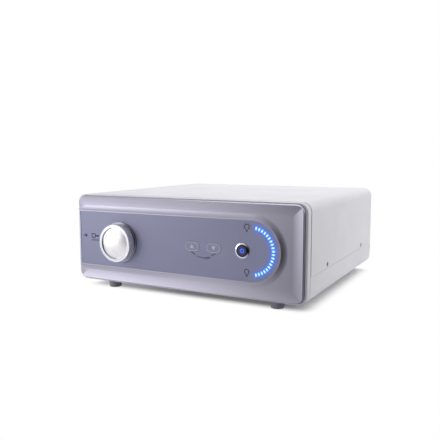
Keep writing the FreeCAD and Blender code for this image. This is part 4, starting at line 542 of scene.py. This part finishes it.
def moulding(name, colour, grain_size=0.0005, roughness=0.45, depth=0.00002):
    """Moulded plastic: a fine spark-eroded grain and a faint flow of tone."""
    plastic = Finish(name, Specular_IOR_Level=0.5)
    grain = plastic.noise(grain_size, 2)
    flow = plastic.noise(0.03, 2)
    plastic.set(
        Base_Color=plastic.mix(flow * 0.7 + grain * 0.3, shade(colour, 0.88), shade(colour, 1.1)),
        Roughness=(grain - 0.5) * 0.18 + roughness,
    )
    plastic.bump(grain, depth)
    return plastic


def polished(name, colour, roughness=0.08):
    """Plated or polished metal with hairline scratches and a trace of handling."""
    metal = Finish(name, Metallic=1.0)
    hairlines = metal.ramp(metal.noise(0.0004, 4, 0.7, (1, 1, 9)), 0.55, 0.75)
    smudge = metal.ramp(metal.noise(0.012, 3), 0.45, 0.7)
    metal.plate = metal.mix(smudge, colour, shade(colour, 0.93))
    metal.set(
        Base_Color=metal.plate,
        Roughness=hairlines * 0.10 + smudge * 0.06 + roughness,
    )
    metal.bump(hairlines, 0.000004)
    return metal


black_plastic = moulding("black_moulding", linear(38, 38, 41))
chrome = polished("chrome_plate", linear(212, 214, 220))
dress(black_plastic, "fan_frame", "fan_rotor")
dress(chrome, "fan_guard")
FAN_X = -102
FAN_Z = 65
FAN_SCREW_STEP = 35.75
GUARD_FACE = 330
M4_PAN = (3.8 * MM, 2.4 * MM, 1.95 * MM, 26 * MM)
spots = [
    at(FAN_X + x * FAN_SCREW_STEP, GUARD_FACE, FAN_Z + z * FAN_SCREW_STEP) for x in (-1, 1) for z in (-1, 1)
]
screws("fan_screws", M4_PAN, spots, BACK, 5)

# Mains inlet: black moulded body with three plated pins, and a drawer above it that holds two glass
# fuses. Pan screws hold its flange to the panel.

dress(black_plastic, "mains_inlet", "fuse_drawer")
fuse_glass = Finish("fuse_glass", Transmission_Weight=0.85, IOR=1.5, Specular_IOR_Level=0.5)
fuse_glass.set(Base_Color=linear(232, 238, 236))
fuse_glass.set(Roughness=fuse_glass.noise(0.002) * 0.08 + 0.02)
dress(fuse_glass, "fuses")
M3_LONG = (2.8 * MM, 1.8 * MM, 1.45 * MM, 6.9 * MM)
INLET_X = 118
INLET_Z = 40
INLET_FACE = 330.4
INLET_SCREW_STEP = 20
spots = [at(INLET_X + side * INLET_SCREW_STEP, INLET_FACE, INLET_Z) for side in (-1, 1)]
screws("inlet_screws", M3_LONG, spots, BACK, 7)

# Earth stud: turned brass with a flange and a nut, left bare so that a lead makes contact. It stands
# between the inlet and the fan, where an equipotential lead reaches it from behind.

brass = brushed("bare_brass", linear(196, 166, 96), 0.0005, 0.32, (1, 6, 1))
dress(brass, "earth_stud")

# Lamp and its two finned sinks: a ceramic reflector lamp clamped between black fins of extruded
# aluminium, in a folded cradle on the pan's floor.

ceramic = moulding("glazed_ceramic", linear(225, 219, 204), 0.002, 0.22, 0.00003)
ceramic.set(Coat_Weight=0.4, Coat_Roughness=0.1)
dress(ceramic, "lamp")
aluminium = brushed("mill_finish_aluminium", linear(188, 190, 194), 0.0005, 0.34, (1, 8, 1))
dress(aluminium, "lamp_sink_front", "lamp_sink_rear", "lamp_ballast")
zinc = brushed("zinc_plated_steel", linear(166, 170, 172), 0.003, 0.36)
dress(zinc, "lamp_bracket", "supply_cage", "filter_bracket", "motor_bracket")
dress(brushed("black_passivated_steel", linear(58, 58, 62), 0.002, 0.5), "front_subpanel")
dress(nickel, "lamp_screws", "subpanel_screws", "bezel_screws", "display_screws")

# Dimmer: black anodised disc with graded holes that a small stepper turns in the beam, behind a
# coated glass that holds the heat back.

anodised = brushed("black_anodised_aluminium", linear(44, 44, 48), 0.0006, 0.42)
dress(anodised, "dimmer_wheel")
dress(zinc, "dimmer_motor", "power_switch_nut")
filter_glass = Finish(
    "heat_filter_glass",
    Transmission_Weight=0.8,
    IOR=1.5,
    Base_Color=linear(206, 226, 214),
    Coat_Weight=0.6,
    Coat_Tint=linear(196, 160, 230),
)
filter_glass.set(Roughness=filter_glass.noise(0.003) * 0.05 + 0.02)
dress(filter_glass, "heat_filter")

# Circuit boards: glass fibre under green lacquer with copper tracks, on brass posts. The keys' switches
# and the body of the front switch are moulded in black.

lacquer = Finish("green_board_lacquer", Coat_Weight=0.3, Coat_Roughness=0.2)
tracks = lacquer.node(
    "ShaderNodeTexBrick",
    {"offset": 0.37, "squash": 1.6, "squash_frequency": 3},
    {
        "Vector": lacquer.place,
        "Color1": linear(24, 84, 48),
        "Color2": linear(20, 72, 44),
        "Mortar": linear(46, 118, 66),
        "Scale": 240.0,
        "Mortar Size": 0.05,
    },
)
fibre = lacquer.noise(0.0008, 2)
lacquer.set(Base_Color=tracks, Roughness=fibre * 0.15 + 0.28)
lacquer.bump(fibre, 0.00001)
dress(lacquer, "main_board", "supply_board", "display_board")
dress(brass, "main_board_posts", "display_posts")
chip_plastic = moulding("chip_plastic", linear(30, 30, 32), 0.0004, 0.5)
dress(chip_plastic, "key_switches", "power_switch_body")

# Front frame: white moulded ring between the sheet metal and the bezel, a shade smoother than the coat.
# It fills the step between the front edge of the case and the back of the bezel.

frame_plastic = moulding("white_frame_moulding", linear(218, 218, 225), 0.0007, 0.34, 0.000012)
dress(frame_plastic, "front_frame")

# Front bezel: moulded shell in a pearl lilac-grey lacquer. Fine flakes lie in it, under a clear coat
# that draws soft bands along the hollow flank.

BEZEL_COLOUR = linear(168, 165, 181)
pearl = Finish("pearl_lacquer", Coat_Weight=0.15, Coat_Roughness=0.3, Coat_IOR=1.45)
flakes = pearl.noise(0.00035, 1, 0.5)
drift = pearl.noise(0.05, 2)
tone = flakes * 0.55 + drift * 0.45
pearl.set(
    Base_Color=pearl.mix(tone, shade(BEZEL_COLOUR, 0.90), shade(BEZEL_COLOUR, 1.08)),
    Metallic=pearl.ramp(flakes, 0.4, 0.65) * 0.15 + 0.78,
    Roughness=flakes * 0.12 + 0.40,
)
pearl.bump(flakes, 0.000006)
dress(pearl, "front_bezel")

# Control overlay: a printed polycarbonate sheet, blue-grey under a finely textured face. Round the arc
# of lights it is painted deep blue and glows: a painted glow of the bars' light spread over the film.

GAUGE_X = 109
GAUGE_RADIUS = 31.3 * MM
GLOW_WIDTH = 4.5 * MM
GLOW_FADE_START = 0.02
GLOW_FADE_END = 0.24
GLOW_BLUE = linear(20, 104, 215)
OVERLAY_COLOUR = linear(150, 151, 184)
OVERLAY_FACE = -2.4


def printed_film(name, colour):
    film = Finish(name, Specular_IOR_Level=0.5)
    grit = film.noise(0.0003, 1)
    drift = film.noise(0.08, 2)
    film.ink = film.mix(grit * 0.4 + drift * 0.6, shade(colour, 0.94), shade(colour, 1.06))
    film.set(Base_Color=film.ink, Roughness=grit * 0.14 + 0.30)
    film.bump(grit, 0.000008)
    return film


def arc_nearness(film):
    """Each place's distance from the arc of lights in metres, and 1 beside the arc but 0 past its ends."""
    spoke = film.reach(GAUGE_X * MM, MIDDLE)
    across, _, _ = film.split()
    beside = film.ramp((across - GAUGE_X * MM) / spoke, GLOW_FADE_START, GLOW_FADE_END)
    return film.node("ShaderNodeMath", {"operation": "ABSOLUTE"}, (spoke - GAUGE_RADIUS,)), beside


overlay_film = printed_film("overlay_film", OVERLAY_COLOUR)
offset, beside = arc_nearness(overlay_film)
# Painted glow: round the arc the film's colour turns deep blue and the film emits blue light, standing for
# the bars' light spread over it.
painted_bar_glow = beside / (1 + (offset / GLOW_WIDTH) ** 2.0) ** 2.0
overlay_film.set(
    Base_Color=overlay_film.mix(painted_bar_glow * 0.92, overlay_film.ink, linear(16, 44, 110)),
    Emission_Color=overlay_film.mix(painted_bar_glow, (0, 0, 0, 1), GLOW_BLUE),
    Emission_Strength=1.25,
)
dress(overlay_film, "control_overlay")

# Gauge: 20 clear bars lit from the chip lamps behind them, white-hot along the middle and blue at
# the ends.

HOT_HALF = 0.4 * MM
HOT_END = 2.1 * MM
bars = Finish("lit_light_bars", Base_Color=linear(200, 225, 255))
offset, beside = arc_nearness(bars)
ends = bars.ramp(offset, HOT_HALF, HOT_END)
hot = bars.noise(0.0012, 2)
bars.set(
    Roughness=hot * 0.2 + 0.15,
    Emission_Color=bars.mix(ends, linear(160, 222, 255), linear(20, 92, 228)),
    Emission_Strength=1.1,
)
dress(bars, "gauge_light_bars")
lamps = Finish("chip_lamp_resin", Emission_Strength=1.5)
lamps.set(
    Base_Color=lamps.mix(lamps.noise(0.001), linear(240, 236, 190), linear(250, 246, 210)),
    Emission_Color=lamps.mix(lamps.noise(0.001), linear(40, 110, 255), linear(120, 190, 255)),
    Roughness=lamps.noise(0.0006) * 0.2 + 0.3,
)
dress(lamps, "gauge_lamps")

# Printed marks on the overlay: screen-printed ink, a few hundredths of a millimetre thick. Two
# lamp signs stand by the ends of the arc, bright above and dim below.

INK_RISE = 0.05
INK_ROOT = 0.02
DARK_INK = linear(44, 42, 66)
WHITE_INK = linear(206, 208, 222)


def ink(name, colour):
    coat = Finish(name, Specular_IOR_Level=0.4)
    coat.set(
        Base_Color=coat.mix(coat.noise(0.0004), shade(colour, 0.92), shade(colour, 1.05)),
        Roughness=coat.noise(0.0006) * 0.2 + 0.35,
    )
    return coat


dark_ink = ink("dark_screen_ink", DARK_INK)
white_ink = ink("white_screen_ink", WHITE_INK)


class Marks:
    """Flat marks on a plane that faces the front, drawn in millimetres across and up."""

    def __init__(self, face):
        self.face = face
        self.made = bmesh.new()

    def ribbon(self, inner, outer, closed):
        """A thin slab between two lines of as many points."""
        layers = []
        for y in (self.face - INK_RISE, self.face + INK_ROOT):
            layers.append([[self.made.verts.new(at(x, y, z)) for x, z in line] for line in (inner, outer)])
        (front_in, front_out), (back_in, back_out) = layers
        count = len(inner)
        for step in range(count if closed else count - 1):
            after = (step + 1) % count
            for lines in (
                (front_in, front_out),
                (back_out, back_in),
                (back_in, front_in),
                (front_out, back_out),
            ):
                near, far = lines
                self.made.faces.new((near[step], near[after], far[after], far[step]))
        if not closed:
            for step in (0, -1):
                self.made.faces.new((front_in[step], front_out[step], back_out[step], back_in[step]))

    def stroke(self, line, width, closed=False):
        """A line of even width with mitred corners."""
        points = [Vector(point) for point in line]
        inner, outer = [], []
        for step, point in enumerate(points):
            before = points[step - 1] if step or closed else None
            after = points[(step + 1) % len(points)] if step < len(points) - 1 or closed else None
            ways = [(b - a).normalized() for a, b in ((before, point), (point, after)) if a and b]
            way = sum(ways, Vector((0, 0))).normalized()
            aside = Vector((-way.y, way.x)) * width / 2 / max(0.3, way.dot(ways[0]))
            inner.append(point - aside)
            outer.append(point + aside)
        self.ribbon(inner, outer, closed)

    def arc(self, x, z, radius, start, finish, width, steps=24):
        """A stroke round (x, z) from one angle in degrees to another, or right round."""
        closed = abs(finish - start) >= 360
        angles = [math.radians(start + (finish - start) * k / steps) for k in range(steps + (not closed))]
        line = [(x + radius * math.cos(turn), z + radius * math.sin(turn)) for turn in angles]
        self.stroke(line, width, closed)

    def patch(self, outline):
        """A filled shape."""
        front, back = (
            [self.made.verts.new(at(x, y, z)) for x, z in outline]
            for y in (self.face - INK_RISE, self.face + INK_ROOT)
        )
        self.made.faces.new(front)
        self.made.faces.new(back[::-1])
        for step in range(len(outline)):
            after = (step + 1) % len(outline)
            self.made.faces.new((front[step], back[step], back[after], front[after]))

    def done(self, name, finish, body, slot):
        thing = link_mesh(name, mesh_from(name, self.made))
        thing.data.materials.append(finish.material)
        declare(thing, body, slot)


def tick_shape():
    """A mark of unit width and height standing on its foot, for the tree to size."""
    made = bmesh.new()
    box = bmesh.ops.create_cube(made, size=1)["verts"]
    for corner in box:
        x, y, z = corner.co
        corner.co = (x * (0.8 if y > 0 else 1), y + 0.5, INK_RISE * MM if z > 0 else -INK_ROOT * MM)
    return link_mesh("tick", mesh_from("tick", made))


def ticks(name, finish, marks):
    """Marks on the overlay. Each is (x, z, angle it points at, width, height) in millimetres."""
    places, turns, sizes = [], [], []
    for x, z, angle, width, height in marks:
        out = Vector((math.cos(math.radians(angle)), 0, math.sin(math.radians(angle))))
        front = Vector((0, -1, 0))
        places.append(at(x, OVERLAY_FACE, z))
        turns.append(tuple(Matrix((out.cross(front), out, front)).transposed().to_euler()))
        sizes.append((width * MM, height * MM, 1))
    thing = repeated(name, tick_shape(), finish, places, turns, sizes)
    declare(thing, "chassis", "overlay_print")


BULB_X = 102.8
BULB_HIGH = 96.8
BULB_LOW = 37.8
BULB_RADIUS = 3.2
BULB_LINE = 1.1
SOCKET_LINE = 0.8
SOCKET_STEP = 1.15
SOCKET_DROP = 0.9
RAY_GAP = 1.1
RAY_WIDTH = 0.75
RAY_LENGTH = 1.3
signs = Marks(OVERLAY_FACE)
beams = []
for bulb_z, lit in ((BULB_HIGH, True), (BULB_LOW, False)):
    signs.arc(BULB_X, bulb_z, BULB_RADIUS, -62, 242, BULB_LINE)
    for step, half in enumerate((1.6, 1.6, 1.0)):
        low = bulb_z - BULB_RADIUS - SOCKET_DROP - step * SOCKET_STEP
        signs.stroke([(BULB_X - half, low), (BULB_X + half, low)], SOCKET_LINE)
    if lit:
        for angle in range(-30, 240, 30):
            turn = math.radians(angle)
            reach = BULB_RADIUS + RAY_GAP
            x, z = BULB_X + reach * math.cos(turn), bulb_z + reach * math.sin(turn)
            beams.append((x, z, angle, RAY_WIDTH, RAY_LENGTH))
signs.done("lamp_signs", dark_ink, "chassis", "overlay_print")
ticks("lamp_sign_rays", dark_ink, beams)

# Left of the socket three small printed signs stand for its way of working: an arrow towards the socket,
# a plug with its pin, and a row of strokes for the turn that clamps it.

entry = Marks(OVERLAY_FACE)
blue_ink = ink("blue_screen_ink", linear(52, 48, 104))
entry.stroke([(-171.2, 68.1), (-166.6, 68.1)], 1.7)
entry.patch([(-167.2, 71.7), (-167.2, 64.5), (-163.2, 68.1)])
entry.stroke([(-155.0, 65.9), (-148.8, 65.9), (-148.8, 71.1), (-155.0, 71.1)], 1.3, closed=True)
entry.patch([(-148.1, 67.2), (-141.8, 67.2), (-141.8, 69.8), (-148.1, 69.8)])
entry.done("socket_signs", blue_ink, "chassis", "overlay_print")
TURN_MARKS_START = -154.8
TURN_MARKS_STEP = 2.1
TURN_MARKS_FOOT = 60.6
turn_marks = []
for step in range(7):
    turn_marks.append((TURN_MARKS_START + step * TURN_MARKS_STEP, TURN_MARKS_FOOT, 90, 1.0, 3.0))
ticks("socket_turn_marks", blue_ink, turn_marks)

# An earth sign is printed on the rear panel over its stud, in the same ink as the overlay's signs:
# a stem on three strokes, each shorter than the one above it.

STUD_X = 58
EARTH_STEM_TOP = 47.4
EARTH_STEM_FOOT = 43.4
EARTH_STEP = 1.5
EARTH_LINE = 0.8
earth = Marks(REAR_FACE + INK_RISE - INK_ROOT)
earth.stroke([(STUD_X, EARTH_STEM_TOP), (STUD_X, EARTH_STEM_FOOT)], EARTH_LINE)
for step, half in enumerate((3.2, 2.1, 1.0)):
    low = EARTH_STEM_FOOT - step * EARTH_STEP
    earth.stroke([(STUD_X - half, low), (STUD_X + half, low)], EARTH_LINE)
earth.done("earth_sign", dark_ink, "chassis", "overlay_print")

# Keys: two pill-shaped caps in the overlay's own print, with a white outline and a triangle each.
# Under them a row of marks grows from dim to bright.

key_film = printed_film("key_film", OVERLAY_COLOUR)
dress(key_film, "key_up", "key_down")
KEY_FACE = -2.7
KEY_WIDTH = 23.0
KEY_HEIGHT = 14.0
KEY_LINE = 0.8
KEY_MARGIN = 0.7
TRIANGLE_HALF = 3.3
TRIANGLE_HIGH = 5.6
KEY_Z = 65


def pill(x, z, width, height, steps=12):
    """The outline of a pill, from the lower right round against the clock."""
    radius = height / 2
    points = []
    for side in (1, -1):
        for step in range(steps + 1):
            turn = math.radians(-90 * side + 180 * step / steps)
            middle = x + side * (width / 2 - radius)
            points.append((middle + radius * math.cos(turn), z + radius * math.sin(turn)))
    return points


for node, body, key_x, way in (("key_up", "up_key", 20, 1), ("key_down", "down_key", 53.6, -1)):
    print_on = Marks(KEY_FACE)
    inset = 2 * KEY_MARGIN + KEY_LINE
    print_on.stroke(pill(key_x, KEY_Z, KEY_WIDTH - inset, KEY_HEIGHT - inset), KEY_LINE, closed=True)
    foot = KEY_Z - way * TRIANGLE_HIGH * 0.45
    print_on.patch(
        [(key_x - TRIANGLE_HALF, foot), (key_x + TRIANGLE_HALF, foot), (key_x, foot + way * TRIANGLE_HIGH)]
    )
    print_on.done(f"{node}_print", white_ink, body, "overlay_print")

ARC_X = 37.6
ARC_Z = 82.5
ARC_RADIUS = 31
SCALE_START = -108
SCALE_STEP = 3
scale_marks = []
for step in range(13):
    angle = SCALE_START + step * SCALE_STEP
    turn = math.radians(angle)
    x, z = ARC_X + ARC_RADIUS * math.cos(turn), ARC_Z + ARC_RADIUS * math.sin(turn)
    scale_marks.append((x, z, angle, 0.95, 1.5 + step * 0.14))
ticks("brightness_marks", dark_ink, scale_marks)
leaders = Marks(OVERLAY_FACE)
leaders.arc(ARC_X, ARC_Z, ARC_RADIUS, -128, -113, 1.3)
leaders.arc(ARC_X, ARC_Z, ARC_RADIUS, -66, -46, 1.0)
leaders.done("brightness_leaders", dark_ink, "chassis", "overlay_print")

# Front switch: chromed ring on a threaded barrel, painted dark navy inside its rim as a painted reflection
# of the dark button, with a dark domed button whose sign is lit from behind in blue.

SWITCH_X = 96.6
SWITCH_Z = 65
RIM_START = 8.0 * MM
RIM_FULL = 8.6 * MM
ring_chrome = polished("ring_chrome", linear(212, 214, 220))
# Inside 8 mm of the axis the chrome is painted dark navy: a painted reflection of the dark button.
button_reflection_share = ring_chrome.ramp(ring_chrome.reach(SWITCH_X * MM, MIDDLE), RIM_START, RIM_FULL)
ring_chrome.set(Base_Color=ring_chrome.mix(button_reflection_share, linear(34, 36, 72), ring_chrome.plate))
dress(ring_chrome, "power_switch_ring")
button = Finish("dark_blue_button", Coat_Weight=0.6, Coat_Roughness=0.08)
haze = button.noise(0.002, 2)
button.set(
    Base_Color=button.mix(haze, linear(20, 24, 72), linear(28, 34, 96)),
    Roughness=haze * 0.1 + 0.2,
)
# Round its sign the button glows blue: painted glow, the sign's backlight spread into the dark dome.
sign_glow_share = button.ramp(button.reach(SWITCH_X * MM, MIDDLE), 4.8 * MM, 2.0 * MM)
button.set(Emission_Color=button.mix(sign_glow_share, (0, 0, 0, 1), linear(22, 40, 170)), Emission_Strength=0.5)
dress(button, "power_button")
sign_light = Finish("lit_blue_sign", Roughness=0.3, Emission_Strength=0.8)
sign_light.set(
    Base_Color=sign_light.mix(sign_light.noise(0.001), linear(60, 90, 255), linear(90, 130, 255)),
    Emission_Color=sign_light.mix(sign_light.noise(0.0015), linear(40, 70, 255), linear(80, 130, 255)),
)
BUTTON_FACE = -4.1
POWER_RADIUS = 2.5
POWER_LINE = 0.75
power_sign = Marks(BUTTON_FACE)
power_sign.arc(SWITCH_X, SWITCH_Z, POWER_RADIUS, 122, 418, POWER_LINE)
power_sign.stroke([(SWITCH_X, SWITCH_Z + 0.3), (SWITCH_X, SWITCH_Z + 3.5)], POWER_LINE)
power_sign.done("power_sign", sign_light, "power_key", "button_dark")

# Light-guide socket: turned steel body with a thin flange, a threaded ring that draws it against the
# bezel, and three hardened jaws that close on the guide's ferrule.

satin = brushed("satin_turned_steel", linear(186, 186, 192), 0.0004, 0.26)
dress(satin, "port_retaining_ring")
# The body's steel is a darker copy of the satin steel: painted shade, for the flange that sits dark under
# the knob's head.
dress(brushed("dark_turned_steel", linear(138, 138, 148), 0.0004, 0.24), "port_body")
hardened = brushed("hardened_jaw_steel", linear(120, 118, 122), 0.0006, 0.34)
dress(hardened, "clamp_jaw_1", "clamp_jaw_2", "clamp_jaw_3")

# Clamping collar: turned ring with a straight knurl, brighter and rougher than its rim, which is polished
# flat. Turning it draws the jaws in.

PORT_X = -102
PORT_Z = 62
KNURL_START = 25.8 * MM
KNURL_FULL = 26.3 * MM
collar_metal = Finish("polished_collar", Metallic=1.0)
spoke = collar_metal.reach(PORT_X * MM, FLOOR + PORT_Z * MM)
lathe = collar_metal.node(
    "ShaderNodeTexNoise", {"noise_dimensions": "1D"}, {"W": spoke, "Scale": 9000.0, "Detail": 2.0}
)
handling = collar_metal.ramp(collar_metal.noise(0.01, 3), 0.4, 0.7)
knurled = collar_metal.ramp(spoke, KNURL_START, KNURL_FULL)
glint = collar_metal.ramp(collar_metal.noise(0.0009, 1), 0.4, 0.6)
rim_steel = collar_metal.mix(handling, linear(210, 210, 219), linear(198, 198, 208))
collar_metal.set(
    Base_Color=collar_metal.mix(knurled, rim_steel, linear(240, 240, 244)),
    Roughness=lathe * 0.10 + handling * 0.06 + knurled * (glint * 0.14 + 0.20) + 0.12,
)
collar_metal.bump(lathe, 0.000003)
dress(collar_metal, "port_collar")

# Dust cap: turned from bar, domed and polished to a soft sheen, with a rubber ring that grips the
# collar's mouth.

cap_metal = Finish("satin_polished_cap", Metallic=0.85)
spoke = cap_metal.reach(PORT_X * MM, FLOOR + PORT_Z * MM)
lathe = cap_metal.node(
    "ShaderNodeTexNoise", {"noise_dimensions": "1D"}, {"W": spoke, "Scale": 6000.0, "Detail": 2.0}
)
handling = cap_metal.ramp(cap_metal.noise(0.006, 3), 0.45, 0.75)
cap_metal.set(
    Base_Color=cap_metal.mix(handling, linear(222, 220, 223), linear(214, 212, 216)),
    Roughness=lathe * 0.06 + handling * 0.05 + 0.36,
)
cap_metal.bump(lathe, 0.000002)
dress(cap_metal, "port_cap")
rubber = moulding("grey_rubber", linear(158, 154, 166), 0.0008, 0.66, 0.00004)
dress(rubber, "cap_seal_ring")

# Top cover: steel sheet folded over the whole case, its front edge a millimetre behind the frame and
# its lower edges lapped over the pan. Flush screws hold its sides.

dress(white_coat, "top_cover")
COVER_SCREW = (3.2 * MM, 1.4 * MM, 1.45 * MM, 4.9 * MM)
shape = screw_shape(*COVER_SCREW)
COVER_SCREW_X = 182.5
COVER_SCREW_Z = 39.5
sides = [(side, y) for side in (-1, 1) for y in (86, 271)]
spots = [at(side * COVER_SCREW_X, y, COVER_SCREW_Z) for side, y in sides]
turns = [tuple(Vector((side, 0, 0)).to_track_quat("Z", "Y").to_euler()) for side, y in sides]
dark_plate = brushed("dark_plated_steel", linear(104, 104, 110), 0.0004, 0.34)
cover_screws = repeated(
    "cover_screws_look", shape, dark_plate, spots, turns, spin=math.pi / 4, seed=11
)
declare(cover_screws, "chassis", "steel_screw", "cover_screws")

# Seam shade: a black strip laid in the joint behind the front frame, wide under the cover's edge and narrow
# along the pan.
# It is painted shade: a dark sheet where the joint would only be in shadow.

SHADE_STRIP_SINK = 0.7
SHADE_STRIP_THICK = 0.8
CASE_HALF = 184
CASE_HEIGHT = 130
CASE_CORNER = 13
SEAM_Z = 34.2
seam_shade_finish = moulding("black_foam", linear(40, 40, 44), 0.0006, 0.75, 0.00005)


def arch(sink, crown, foot, steps=10):
    """The case's outline this far inside its skin: up one side, round both corners and down the other."""
    way = 1 if crown > foot else -1
    radius = CASE_CORNER - sink
    points = [(-CASE_HALF + sink, foot)]
    for middle, start in ((-CASE_HALF + CASE_CORNER, 180), (CASE_HALF - CASE_CORNER, 90)):
        for step in range(steps + 1):
            turn = math.radians(start - 90 * step / steps)
            rise = crown + way * (radius * math.sin(turn) - CASE_CORNER)
            points.append((middle + radius * math.cos(turn), rise))
    return points + [(CASE_HALF - sink, foot)]


SEAM_GAP = 0.2
FRAME_BACK = 14.1
COVER_EDGE = 16.5
PAN_EDGE = 14.9
shade_strip_shape = bmesh.new()
for crown, foot, back in ((CASE_HEIGHT, SEAM_Z + SEAM_GAP, COVER_EDGE), (0, SEAM_Z - SEAM_GAP, PAN_EDGE)):
    rows = []
    for sink, y in ((0, FRAME_BACK), (0, back), (SHADE_STRIP_THICK, back), (SHADE_STRIP_THICK, FRAME_BACK)):
        rows.append([shade_strip_shape.verts.new(at(x, y, z)) for x, z in arch(SHADE_STRIP_SINK + sink, crown, foot)])
    for near, far in zip(rows, rows[1:] + rows[:1]):
        for step in range(len(near) - 1):
            shade_strip_shape.faces.new((near[step], near[step + 1], far[step + 1], far[step]))
    for step in (0, -1):
        shade_strip_shape.faces.new([row[step] for row in rows])
seam_seal = link_mesh("seam_seal", mesh_from("seam_seal", shade_strip_shape))
seam_seal.data.materials.append(seam_shade_finish.material)
declare(seam_seal, "chassis", "foot_rubber")

# Feet: moulded rubber with a rounded rim, slightly wider at the top, and a recess for the pan screw
# that holds each of them to the floor.

FOOT_SIDES = 64
feet = bmesh.new()
FOOT_PROFILE = [
    (0, -5.0),
    (4.9, -5.0),
    (5.0, -5.3),
    (5.0, -12.5),
    (5.4, -12.93),
    (5.9, -13.0),
    (8.3, -13.0),
    (8.85, -12.75),
    (9.05, -12.2),
    (9.95, -0.6),
    (9.8, -0.1),
    (9.5, 0),
    (0, 0),
]
FOOT_X = 135
FOOT_RECESS = -5
foot_spots = [(x, y) for x in (-FOOT_X, FOOT_X) for y in (26, 306)]
for x, y in foot_spots:
    turned(feet, [(radius * MM, height * MM) for radius, height in FOOT_PROFILE], FOOT_SIDES, at(x, y, 0))
feet_look = link_mesh("rubber_feet_look", mesh_from("rubber_feet_look", feet, 50))
feet_look.data.materials.append(rubber.material)
declare(feet_look, "chassis", "foot_rubber", "rubber_feet")
M4_SHORT = (3.8 * MM, 2.4 * MM, 1.95 * MM, 9.5 * MM)
screws("foot_screws", M4_SHORT, [at(x, y, FOOT_RECESS) for x, y in foot_spots], (0, 0, -1), 13)
